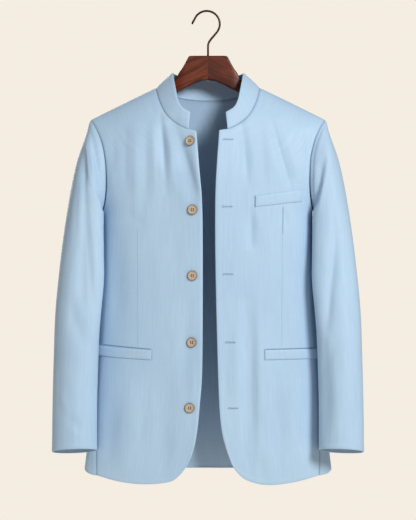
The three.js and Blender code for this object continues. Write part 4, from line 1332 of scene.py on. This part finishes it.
SLEEVE = Table(
    "outer_x outer_z inner_x inner_z depth forward drop lean",
    (
        (241.5, -247, 209.4, -398, 56, 0, 0, 10),
        (256.5, -291, 209.2, -414, 57, 2, 0, 28),
        (268.5, -346, 208.6, -439, 55, 6, 0.02, 30),
        (280, -418, 208.2, -481, 52, 12, 0.04, 34),
        (290, -501, 208.4, -535, 49, 19, 0.07, 38),
        (297.8, -590, 210.8, -602, 46, 27, 0.1, 26),
        (300.3, -676, 213.4, -677, 43, 34.5, 0.14, 8),
        (302, -766, 215.4, -762, 40.5, 41, 0.18, 0),
        (302.6, -861, 215.3, -857, 38.5, 47, 0.22, 0),
    ),
)
ARMHOLE_STEP = 0.02
SLEEVE_FRONT = creases(
    (-222, -236, -205, -350, -4, 8), (-240, -270, -240, -350, -4, 9), (-240, -345, -240, -600, -5, 12),
    (-268, -560, -236, -660, -3, 13), (-272, -780, -240, -822, -2.5, 10), (226, -280, 205, -385, -4.5, 9),
    (250, -430, 226, -640, -6, 12), (228, -640, 226, -850, -3.5, 11), (266, -560, 268, -850, 2.5, 16),
    (-230, -226, -205, -352, -2.2, 4), (-233, -246, -206, -388, 1.8, 5), (-238, -248, -231, -338, 1.0, 3.5),
    (-244, -262, -235, -408, -2.0, 5), (-234, -396, -221, -590, -2.6, 6), (-248, -338, -247, -474, 2.2, 6),
    (-256, -288, -264, -470, 1.0, 7), (-262, -480, -276, -640, 1.1, 9), (-228, -610, -226, -760, 1.0, 9),
    (-286, -600, -290, -840, -1.0, 8), (-252, -700, -256, -840, 1.0, 10), (-284, -740, -262, -800, 1.0, 7),
    (-236, -826, -252, -868, -0.9, 7), (230, -288, 213, -404, 2.0, 5), (220, -296, 207, -394, -1.8, 5, 0.3),
    (244, -380, 246, -474, -1.8, 7), (246, -436, 227, -640, -2.0, 6), (226, -630, 221, -724, -1.6, 6),
    (238, -300, 258, -440, 1.2, 9), (262, -420, 278, -560, -1.2, 9), (232, -480, 244, -600, 1.0, 8),
    (286, -520, 290, -740, 1.1, 8), (244, -680, 250, -850, 1.0, 9), (284, -760, 278, -860, -1.0, 8),
    (248, -640, 222, -706, -1.0, 8),
)
SLEEVE_BACK = creases(
    (-228, -250, -214, -380, -4, 9), (-262, -440, -228, -600, -5, 13), (-236, -620, -262, -800, -3.5, 13),
    (226, -250, 212, -375, -4, 9), (258, -420, 232, -590, -5, 13), (240, -610, 266, -780, -3.5, 13),
    (-270, -400, -284, -560, 1.2, 9), (-226, -560, -232, -700, 1.1, 8), (-280, -640, -270, -840, 1.0, 10),
    (272, -390, 286, -560, 1.1, 9), (228, -560, 236, -710, 1.2, 8), (282, -640, 276, -850, -1.0, 10),
)


@dataclass
class Sleeve(ClothPiece):
    """One sleeve: rings from the armhole to the open cuff."""

    side: Side = Side.RIGHT
    sink: float = 0.6
    # Width of the darker line along the armhole seam; the left sleeve's wider band is painted shade beside the seam.
    seam_line_and_shade_width: float = SEAM_SHADE

    def seam_places(self, turns: Array) -> Array:
        """Places on the armhole all the way round, from the tip down the front and up the back.

        Args:
            turns: turns in radians.

        Returns:
            Places.
        """
        turns = np.mod(turns, TURN)
        front = armhole_place(self.side.value, Face.FRONT, np.minimum(turns, math.pi))
        back = armhole_place(self.side.value, Face.BACK, np.minimum(TURN - turns, math.pi))
        return np.where((turns <= math.pi)[:, None], front, back)

    def armhole(self, turns: Array) -> tuple[Array, Array]:
        """Points round the armhole and the way out of the body's cloth at each, square to the seam and the normal."""
        here, ahead, behind = (self.seam_places(turns + step) for step in (0.0, ARMHOLE_STEP, -ARMHOLE_STEP))
        return body(here), unit(np.cross(body_normal(here), body(ahead) - body(behind)) * self.side.value)

    def rings(self, turns: Array) -> list[Array]:
        """Rings of points down the sleeve.

        A ring's point at a turn t lies (1 + cos t)/2 of the way from its innermost to its outermost point, and its
        depth times sin t before its middle, which hangs forward. Its inner front leans in over the body by the lean
        times ((1 - cos t)/2)² times sin t to the power 1.5.

        Args:
            turns: turns in radians.

        Returns:
            (len(turns), 3) points of each ring.
        """
        reach = (1 + np.cos(turns)) / 2
        over_body = (1 - reach) ** 2 * np.maximum(np.sin(turns), 0) ** 1.5
        rings = []
        for outer_x, outer_z, inner_x, inner_z, depth, forward, drop, lean in SLEEVE.rows:
            ahead = depth * np.sin(turns)
            x = self.side.value * (inner_x + (outer_x - inner_x) * reach - lean * over_body)
            rings.append(np.stack([x, -forward - ahead, inner_z + (outer_z - inner_z) * reach + drop * ahead], -1))
        return rings

    def build(self) -> Piece:
        """The tube: each column is a smooth curve from the armhole through the rings' points at its turn.

        The head stands up by 0.8·exp(-((d-9)/6)²) behind the sewn seam, and its front sinks by sink·exp(-((d-5)/5)²)
        beside it. The cuff rolls like the other turned edges.

        Returns:
            The sleeve.
        """
        turns = np.linspace(0, TURN, 128, endpoint=False)
        start, outgoing = self.armhole(turns)
        stack = np.stack([start, *self.rings(turns)])
        v = lines(250, 640)
        grid = curve(stack, v)
        facing = np.sin(turns)[None, :]
        front = folds_relief(SLEEVE_FRONT, grid[..., 0], grid[..., 2])
        back = folds_relief(SLEEVE_BACK, grid[..., 0], grid[..., 2])
        below_seam = gentle(v[:, None] * (len(stack) - 1), 1.0)
        relief = np.where(facing > 0, front, back) * gentle(np.abs(facing), 0.6) * below_seam
        down = run_lengths(grid, 0)
        relief += 0.8 * gentle(np.cos(turns)[None, :] + 0.3, 1.0) * bell(down, 6, 9) + SEWN.relief(down)
        relief += TURNED.relief(down[-1:] - down)
        relief -= self.sink * np.clip(facing * 1.4, 0, 1) * bell(down, 5, 5)
        sign = self.side.value
        outer = grid + relief[..., None] * (sign * grid_normals(grid, ring=True))
        normals = square_to_seam(sign * grid_normals(outer, ring=True), outgoing, 3)
        bulge = np.full(relief.shape, RIM_BULGE)
        bulge[-1] += FOLDED_BULGE
        inner = outer - CLOTH_WALL * normals
        return Shell(outer, inner, bulge, bell(down, self.seam_line_and_shade_width), ring=True).make(self.name)


@dataclass
class Collar(ClothPiece):
    """The stand collar, one band from front end to front end."""

    wall: float = 2.4
    bulge: float = 0.8
    overlap: float = 0.25

    def build(self) -> Piece:
        """The band rules the way from the neck seam to the top edge and bulges by 4·bulge·t·(1-t) between them.

        Returns:
            The collar.
        """
        row = lines(190, 430) * NECK_LAST
        at = neck_place(row)
        seam = body(at)
        outgoing = unit(np.cross(body_normal(at), np.gradient(seam, axis=0)))
        top = curve(round_neck("top_x top_y top_z"), row / NECK_LAST)
        t = lines(18, 42)[:, None, None]
        ruled = (seam - self.overlap * outgoing) * (1 - t) + top * t
        facing = grid_normals(ruled)
        outer = ruled + facing * (4 * self.bulge * t * (1 - t))
        up, along = run_lengths(outer, 0), run_lengths(outer, 1)
        relief = COLLAR_SEWN.relief(up)
        for distance in (up[-1:] - up, np.minimum(along, along[:, -1:] - along)):
            relief += COLLAR_TURNED.relief(distance)
        outer = outer + relief[..., None] * facing
        normals = square_to_seam(grid_normals(outer), outgoing, 2)
        inner = outer - self.wall * normals
        return Shell(outer, inner, RIM_BULGE + FOLDED_BULGE, bell(up, SEAM_SHADE), steps=4).make(self.name)


# Pocket welts


@dataclass
class Welt(ClothPiece):
    """A pocket welt laid on a front: a pressed strip with rounded edges."""

    under: str = ""
    gap: float = 0.35
    wall: float = 1.5
    crown: float = 0.5

    def places(self, u: Array, v: Array) -> Array:
        """Places of the strip, (rows, columns, 2)."""
        raise NotImplementedError

    def build(self) -> Piece:
        """The strip's points are the cloth's, moved out; its crown is higher than its pressed edges.

        Returns:
            The welt.
        """
        u, v = lines(70, 90), lines(16, 20)
        at = self.places(u[None, :], v[:, None])
        points, normals = body(at), body_normal(at)
        across, up = np.minimum(u, 1 - u)[None, :] * self.flat[0], np.minimum(v, 1 - v)[:, None] * self.flat[1]
        inside = np.minimum(across, up) / MM
        lift = self.gap + self.wall + self.crown * gentle(inside, 5.0) + PRESSED.relief(inside)
        outer = points + lift[..., None] * normals
        return Shell(outer, points + self.gap * normals, 0.25).make(self.name)

    def dress(self, piece: Piece) -> None:
        """Cloth finish."""
        settle(piece, self.cloth(), "cloth", self.node)


@dataclass
class ChestWelt(Welt):
    """The slanted welt on the wearer's left chest, by its corners seen from the front."""

    ends: tuple[float, float] = (91.5, 182.0)
    foot: tuple[float, float] = (-385.6, -374.6)
    top: tuple[float, float] = (-364.6, -352.6)

    def places(self, u: Array, v: Array) -> Array:
        """Rules between the four corners."""
        x, foot, top = (first + (last - first) * u for first, last in (self.ends, self.foot, self.top))
        return place(1, Face.FRONT, x + 0 * v, foot * (1 - v) + top * v)


@dataclass
class HipWelt(Welt):
    """A hip welt that runs on round the side, and rises a little towards it."""

    side: Side = Side.LEFT
    rise: float = 1.0
    inner_x: float = 110.0
    foot: float = -682.0
    height: float = 19.0
    last_bearing: float = math.radians(93)

    def places(self, u: Array, v: Array) -> Array:
        """Bearings from the inner end to just past the side, at heights between the strip's edges.

        Args:
            u: shares along the strip.
            v: shares up it.

        Returns:
            Places.
        """
        inner = bearing_at(self.inner_x, self.foot + self.height / 2)
        bearing = inner + (self.last_bearing - inner) * u + 0 * v
        rise = self.rise * np.minimum(u / 0.75, 1)
        return place_at_bearing(self.side.value, bearing, self.foot + self.height * v + rise)


# Buttons and buttonholes

NEVER_ALONG = (0.0, 1.0, 0.03)


def tube(path: Array, radius: Array | float, sides: int, closed: bool = False) -> tuple[Array, Faces]:
    """A round tube along a path, its section set square to the path and to a fixed direction.

    Args:
        path: (n, 3) points.
        radius: the tube's radius, or one for each point.
        sides: corners of its section.
        closed: whether the path is a loop.

    Returns:
        Points, and faces with closed ends.
    """
    ahead = unit(np.roll(path, -1, 0) - np.roll(path, 1, 0) if closed else np.gradient(path, axis=0))
    aside = unit(np.cross(ahead, NEVER_ALONG))
    angle = np.linspace(0, TURN, sides, endpoint=False)[None, :, None]
    ring = aside[:, None] * np.cos(angle) + np.cross(ahead, aside)[:, None] * np.sin(angle)
    rings = path[:, None] + np.broadcast_to(radius, (len(path),))[:, None, None] * ring
    return rings.reshape(-1, 3), ring_faces(rings, closed)


@dataclass
class Button:
    """A four-hole button with its thread, dished inside a raised rim."""

    number: int
    x: float
    z: float
    radius: float = 10.0
    dish: float = 2.2
    rim: float = 3.2
    hole_ring: float = 2.6
    hole_radius: float = 1.15
    hole_depth: float = 1.7
    gap: float = 0.35
    thread: float = 0.24
    foot: tuple[tuple[float, float], ...] = ((10.0, 1.5), (9.6, 0.8), (8.8, 0.25), (8.0, 0.0), (4.0, 0.0), (0.2, 0.0))

    def profile(self, r: Array) -> Array:
        """Height of the face over the foot: a dish, a groove at 6.5 mm and a rim that rounds off from 8.6 mm out.

        Args:
            r: distances from the centre.

        Returns:
            Heights.
        """
        dish = self.dish + 0.25 * gentle(r - 4.5, 1.5) - 0.35 * bell(r, 0.45, 6.5)
        rim = self.rim - 1.3 * np.clip((r - 8.6) / 1.4, 0, 1) ** 2.2
        return dish + (rim - dish) * gentle(r - 6.7, 1.1)

    def pits(self, r: Array, angle: Array) -> Array:
        """How far a point of the face is in one of the four holes, which fall off over 0.4 mm.

        Args:
            r: distances from the centre.
            angle: angles round it.

        Returns:
            Shares from 0 to 1.
        """
        turns = math.pi / 4 + RIGHT_ANGLE * np.arange(4)[:, None, None]
        across = r * np.cos(angle) - self.hole_ring * np.cos(turns)
        up = r * np.sin(angle) - self.hole_ring * np.sin(turns)
        return np.max(1 - gentle(np.hypot(across, up) - self.hole_radius + 0.25, 0.4), 0)

    def seat(self) -> tuple[Array, Array]:
        """The foot's centre, raised to clear the cloth under the whole foot.

        Returns:
            The centre, and three unit rows: across to +X, up, and out of the cloth.
        """
        sign = math.copysign(1.0, self.x)
        at = place(sign, Face.FRONT, np.array([abs(self.x)]), np.array([self.z]))
        point, out = body(at)[0], body_normal(at)[0]
        across = unit(np.array([1.0, 0, 0]) - out[0] * out)
        reach, angle = np.meshgrid((3.0, 6.0, 8.5), np.linspace(0, TURN, 24, endpoint=False), indexing="ij")
        around = place(sign, Face.FRONT, np.abs(self.x + reach * np.cos(angle)), self.z + reach * np.sin(angle))
        highest = max(0.0, float(((body(around) - point) @ out).max()))
        return point + (highest + self.gap) * out, np.stack([across, np.cross(out, across), out])

    def build(self) -> list[Piece]:
        """A polar grid: the face with four pits, the rounded side and the foot; and two bars of thread over the pits.

        Returns:
            The button and its thread.
        """
        centre, ways = self.seat()
        face = np.concatenate([np.linspace(0.12, 4.4, 26), np.linspace(4.7, self.radius, 26)])
        foot = np.array(self.foot)
        r, angle = np.meshgrid(
            np.concatenate([face, foot[:, 0]]), np.linspace(0, TURN, 96, endpoint=False), indexing="ij"
        )
        pit = self.pits(r, angle)
        pit[len(face) :] = 0
        height = self.profile(r) - self.hole_depth * pit
        height[len(face) :] = foot[:, 1, None]
        rings = centre + np.stack([r * np.cos(angle), r * np.sin(angle), height], -1) @ ways
        values = {"radius": r.ravel(), "pit": pit.ravel()}
        disc = make_object(f"horn_button_{self.number}", rings.reshape(-1, 3), ring_faces(rings), values=values)
        t = np.linspace(0, math.pi, 15)
        half = self.hole_ring / math.sqrt(2)
        bars = [
            np.stack([np.full_like(t, offset + twin), -half * np.cos(t), 0.9 + 1.85 * np.sin(t) ** 0.6], -1)
            for offset in (-half, half)
            for twin in (-0.28, 0.28)
        ]
        thread = joined([tube(centre + bar @ ways, self.thread, 8) for bar in bars])
        return [disc, make_object(f"button_thread_{self.number}", *thread)]

    def dress(self, pieces: list[Piece], horn: bpy.types.Material, thread: bpy.types.Material) -> None:
        """Horn on the button and thread on its bars."""
        settle(pieces[0], horn, "button", f"button_{self.number}")
        settle(pieces[1], thread, "cloth")


@dataclass
class Buttonholes:
    """Five stitched buttonholes on the wearer's left front, each with a round eye next to the edge."""

    places: tuple[tuple[float, float], ...] = ((38.5, -256.5), (37, -385.7), (38.9, -516), (43.2, -648), (48.6, -776))
    length: float = 19.0

    def loop(self, x: float, z: float) -> tuple[Array, Faces]:
        """Thread laid round one buttonhole: two long sides 1.7 mm apart that widen to an eye 3.4 mm across.

        Args:
            x: its middle.
            z: its height.

        Returns:
            Points and faces.
        """
        t = np.linspace(0, TURN, 120, endpoint=False)
        along = -np.cos(t) * self.length / 2
        eye = bell(along + self.length / 2, 1.5, 1.7)
        half = (0.85 + 0.95 * eye) * np.clip(np.abs(np.sin(t)) * 5.5, 0, 1)
        at = place(1, Face.FRONT, x + along, z + np.sign(np.sin(t)) * half)
        return tube(body(at) + 0.25 * body_normal(at), 0.42 + 0.05 * np.sin(t * 60), 8, closed=True)

    def build(self) -> Piece:
        """All five loops as one piece."""
        return make_object("buttonhole_stitching", *joined([self.loop(x, z) for x, z in self.places]))

    def dress(self, piece: Piece) -> None:
        """Slate blue thread."""
        settle(piece, ThreadFinish("buttonhole_thread", (136, 166, 198)).make(), "cloth")


# Hanger and hook

HANGER = Table(
    "x top foot thick round",
    (
        (0, -86.9, -134.3, 21, 3.5),
        (14, -86.9, -135.6, 21, 3.5),
        (30, -86.9, -142.6, 21, 3.5),
        (36.5, -87.4, -146, 21, 3.5),
        (39.3, -90, -147.3, 21, 3.5),
        (46, -103, -151, 21, 3.5),
        (51.5, -112.4, -153.4, 20.5, 4),
        (57, -119.4, -156.2, 19, 5),
        (61.5, -127.5, -158.5, 17, 5.8),
        (66.5, -134.8, -161, 15.5, 6.2),
        (74, -140.6, -165.5, 14.6, 6.2),
        (86, -148.6, -172.5, 14.2, 6.2),
        (98, -155.4, -179.5, 14, 6.2),
        (112, -157.4, -185.4, 14, 6),
        (213, -206.4, -228.4, 13, 6),
    ),
)


@dataclass
class Hanger:
    """The contoured wooden hanger: rounded upright sections from end to end."""

    name: str = "walnut_hanger"
    under_cloth: float = 3.1
    arm_heights: tuple[float, float] = (28.0, 22.0)
    end_length: float = 5.0
    corner_points: int = 7
    side_points: int = 5

    def stations(self) -> tuple[Array, Array]:
        """Stations from end to end; the arms' tops keep under the cloth, and the ends close in a half ellipse.

        Returns:
            Distances across, and the top, foot, thickness and rounding at each.
        """
        rows = np.array(HANGER.rows, float)
        rows[-2:, 1] = shoulder_line(rows[-2:, 0]) - self.under_cloth
        rows[-2:, 2] = rows[-2:, 1] - self.arm_heights
        x = np.concatenate([np.linspace(0, 34, 14), np.linspace(35, 70, 40), np.linspace(72, 213, 60)])
        sizes = np.stack([np.interp(x, rows[:, 0], rows[:, k]) for k in range(1, 5)], -1)
        t = np.linspace(0, RIGHT_ANGLE, 10)[1:]
        shrink = np.maximum(np.cos(t), 0.02)[:, None]
        top, foot = sizes[-1, :2]
        still = np.array([(top + foot) / 2, (top + foot) / 2, 0.0, 0.0])
        x = np.concatenate([x, x[-1] + self.end_length * np.sin(t)])
        sizes = np.concatenate([sizes, still + (sizes[-1] - still) * shrink])
        return np.concatenate([-x[:0:-1], x]), np.concatenate([sizes[:0:-1], sizes])

    def build(self) -> Piece:
        """A section is a rectangle with quarter-circle corners, and straight runs of points between them.

        Returns:
            The hanger.
        """
        x, sizes = self.stations()
        top, foot, thick, radius = (sizes[:, k, None] for k in range(4))
        corners = []
        for turn, (ahead, upper) in enumerate(((1, True), (-1, True), (-1, False), (1, False))):
            angle = np.linspace(0, RIGHT_ANGLE, self.corner_points) + turn * RIGHT_ANGLE
            y = ahead * (thick / 2 - radius) + radius * np.cos(angle)
            z = (top - radius if upper else foot + radius) + radius * np.sin(angle)
            corners.append(np.stack([y, z], -1))
        fill = np.linspace(0, 1, self.side_points + 2)[1:-1, None]
        section = np.concatenate(
            [
                run
                for here, after in zip(corners, corners[1:] + corners[:1])
                for run in (here, here[:, -1:] * (1 - fill) + after[:, :1] * fill)
            ],
            1,
        )
        rings = np.concatenate([np.broadcast_to(x[:, None, None], (*section.shape[:2], 1)), section], -1)
        return make_object(self.name, rings.reshape(-1, 3), ring_faces(rings))

    def dress(self, piece: Piece) -> None:
        """Walnut."""
        settle(piece, WalnutFinish().make(), "hanger", "hanger")


@dataclass
class Hook:
    """The bent wire hook that stands in the hanger."""

    name: str = "wire_hook"
    wire: float = 4.2
    loop: float = 25.7
    centre_x: float = -2.6
    tip_run: float = 14.0
    tip_taper: tuple[float, ...] = (0.72, 0.93, 0.99)
    tip_angle: float = 152.0
    leave_angle: float = -38.0
    leave_run: float = 18.0
    stem_run: float = 9.0
    stem_top: float = -67.0
    stem_foot: float = -86.6

    def build(self) -> Piece:
        """A straight tip, an arc, a cubic reverse bend and a straight stem, swept by a circle, its tip rounded off.

        Returns:
            The hook.
        """
        angle = np.radians(np.linspace(self.tip_angle, self.leave_angle, 90))
        ways = np.stack([np.cos(angle), 0 * angle, np.sin(angle)], -1)
        loop = np.array([self.centre_x, 0, self.wire / 2 - self.loop]) + self.loop * ways
        back = np.array([-math.sin(angle[0]), 0, math.cos(angle[0])])
        tip = loop[0] + np.linspace(self.tip_run, 0, 12)[:-1, None] * back
        heading = np.array([math.sin(angle[-1]), 0, -math.cos(angle[-1])])
        leave, top = loop[-1], np.array([0, 0, self.stem_top])
        past, before = leave + self.leave_run * heading, top + [0, 0, self.stem_run]
        t = np.linspace(0, 1, 24)[1:, None]
        bend = (1 - t) ** 3 * leave + 3 * t * (1 - t) ** 2 * past + 3 * t * t * (1 - t) * before + t**3 * top
        stem = np.linspace(top, [0, 0, self.stem_foot], 11)[1:]
        path = np.concatenate([tip, loop, bend, stem])
        radius = np.full(len(path), self.wire / 2)
        radius[: len(self.tip_taper)] *= self.tip_taper
        return make_object(self.name, *tube(path, radius, 20))

    def dress(self, piece: Piece) -> None:
        """Bronze wire."""
        settle(piece, WireFinish().make(), "hook", "hook")


# Studio


@dataclass(frozen=True)
class Lamp:
    """A square area light that looks at the jacket's middle."""

    name: str
    at: tuple[float, float, float]
    size: float
    power: float
    colour: Colour
    target: tuple[float, float, float] = (0.0, 0.0, -0.45)

    def build(self) -> None:
        """Hangs the lamp."""
        data = bpy.data.lights.new(self.name, "AREA")
        data.size, data.energy, data.color = self.size, self.power, self.colour
        lamp = bpy.data.objects.new(self.name, data)
        lamp.location = self.at
        lamp.rotation_euler = (Vector(self.target) - Vector(self.at)).to_track_quat("-Z", "Y").to_euler()
        bpy.context.scene.collection.objects.link(lamp)


@dataclass(frozen=True)
class Studio:
    """Pale floor, pale world, a key from the upper right, weak light from the left and from behind, and the camera."""

    camera_distance: float = 3.062
    camera_height: float = -0.4885
    lens: float = 107.6
    floor_z: float = -1.42
    floor_half: float = 2.2
    world_light: float = 0.3
    world_seen: float = 0.98
    world_colour: Colour = (247, 239, 228)
    lamps: tuple[Lamp, ...] = (
        Lamp("key", (1.7, -2.8, 0.95), 0.9, 107, (1.0, 0.98, 0.95)),
        Lamp("fill", (-3.0, -0.9, -0.2), 2.0, 13, (1.0, 0.97, 0.93)),
        Lamp("back", (-0.9, 2.9, 0.5), 1.8, 60, (1.0, 0.98, 0.95)),
    )

    def floor(self) -> None:
        """A pale plane under the hem."""
        s = Shader("pale_floor")
        colour = s.mix(s.noise(s.place(), 3.0, scale=3.0), linear(238, 231, 220), linear(246, 240, 230))
        material = s.finish(colour, 0.8)
        corners = np.array([[-1, -1, 0], [1, -1, 0], [1, 1, 0], [-1, 1, 0]]) * self.floor_half + [0, 0, self.floor_z]
        plane = make_object("floor", corners / MM, [[0, 1, 2, 3]])
        plane.data.materials.append(material)

    def world(self) -> None:
        """A pale world that is brighter to look at than it lights."""
        world = bpy.data.worlds.new("pale_world")
        world.use_nodes = True
        nodes, links = world.node_tree.nodes, world.node_tree.links
        strength = nodes.new("ShaderNodeMapRange")
        strength.inputs["To Min"].default_value = self.world_light
        strength.inputs["To Max"].default_value = self.world_seen
        links.new(nodes.new("ShaderNodeLightPath").outputs["Is Camera Ray"], strength.inputs["Value"])
        links.new(strength.outputs[0], nodes["Background"].inputs[1])
        nodes["Background"].inputs[0].default_value = linear(*self.world_colour)
        bpy.context.scene.world = world
        bpy.context.scene.view_settings.view_transform = "Standard"

    def camera(self) -> None:
        """A level camera straight before the jacket."""
        data = bpy.data.cameras.new("camera")
        data.lens = self.lens
        camera = bpy.data.objects.new("camera", data)
        camera.location = (0, -self.camera_distance, self.camera_height)
        camera.rotation_euler = (RIGHT_ANGLE, 0, 0)
        bpy.context.scene.collection.objects.link(camera)
        bpy.context.scene.camera = camera

    def build(self) -> None:
        """Sets floor, world, lamps and camera."""
        self.floor()
        self.world()
        for lamp in self.lamps:
            lamp.build()
        self.camera()


BUTTON_SPOTS = ((-33.9, -259.6), (-29.6, -391.5), (-30, -518.5), (-31.4, -648), (-35.3, -775))


def main() -> None:
    """Builds and dresses each piece in order."""
    logging.basicConfig(level=logging.INFO, format="%(name)s: %(message)s")
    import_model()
    Studio().build()
    front, sleeve, hip = (0.25, 0.78), (0.37, 0.66), (0.125, 0.019)
    for item in (
        FrontPanel("right_front_cloth", "front_right", front, 0.158, RIGHT_DARTS_AND_PAINTED_SHADE, side=Side.RIGHT),
        FrontPanel("left_front_cloth", "front_left", front, 0.158, LEFT_DARTS_AND_PAINTED_SHADE, side=Side.LEFT),
        BackPanel("back_cloth", "back", (0.56, 0.78), 0.38),
        Sleeve("right_sleeve_cloth", "sleeve_right", sleeve, 0.188, side=Side.RIGHT),
        # The left sleeve's wider seam band is painted shade beside its armhole seam.
        Sleeve("left_sleeve_cloth", "sleeve_left", sleeve, 0.188, side=Side.LEFT, sink=2.6, seam_line_and_shade_width=2.4),
        Collar("stand_collar", "collar", (0.46, 0.046), 0.0198),
        ChestWelt("chest_pocket_welt", "chest_welt", (0.092, 0.0205), under="left_front_cloth"),
        HipWelt(
            "right_hip_pocket_welt", "hip_welt_right", hip, under="right_front_cloth", side=Side.RIGHT, rise=7.0
        ),
        HipWelt("left_hip_pocket_welt", "hip_welt_left", hip, under="left_front_cloth"),
        Hanger(),
        Hook(),
    ):
        piece = item.build()
        item.dress(piece)
        LOG.info("%s: %d faces", piece.name, len(piece.data.polygons))
    horn = HornFinish().make()
    thread = ThreadFinish("button_thread", (128, 112, 96)).make()
    for number, (x, z) in enumerate(BUTTON_SPOTS, 1):
        button = Button(number, x, z)
        button.dress(button.build(), horn, thread)
    holes = Buttonholes()
    holes.dress(holes.build())
    LOG.info("%d buttons and %d buttonholes", len(BUTTON_SPOTS), len(holes.places))


if __name__ == "__main__":
    main()
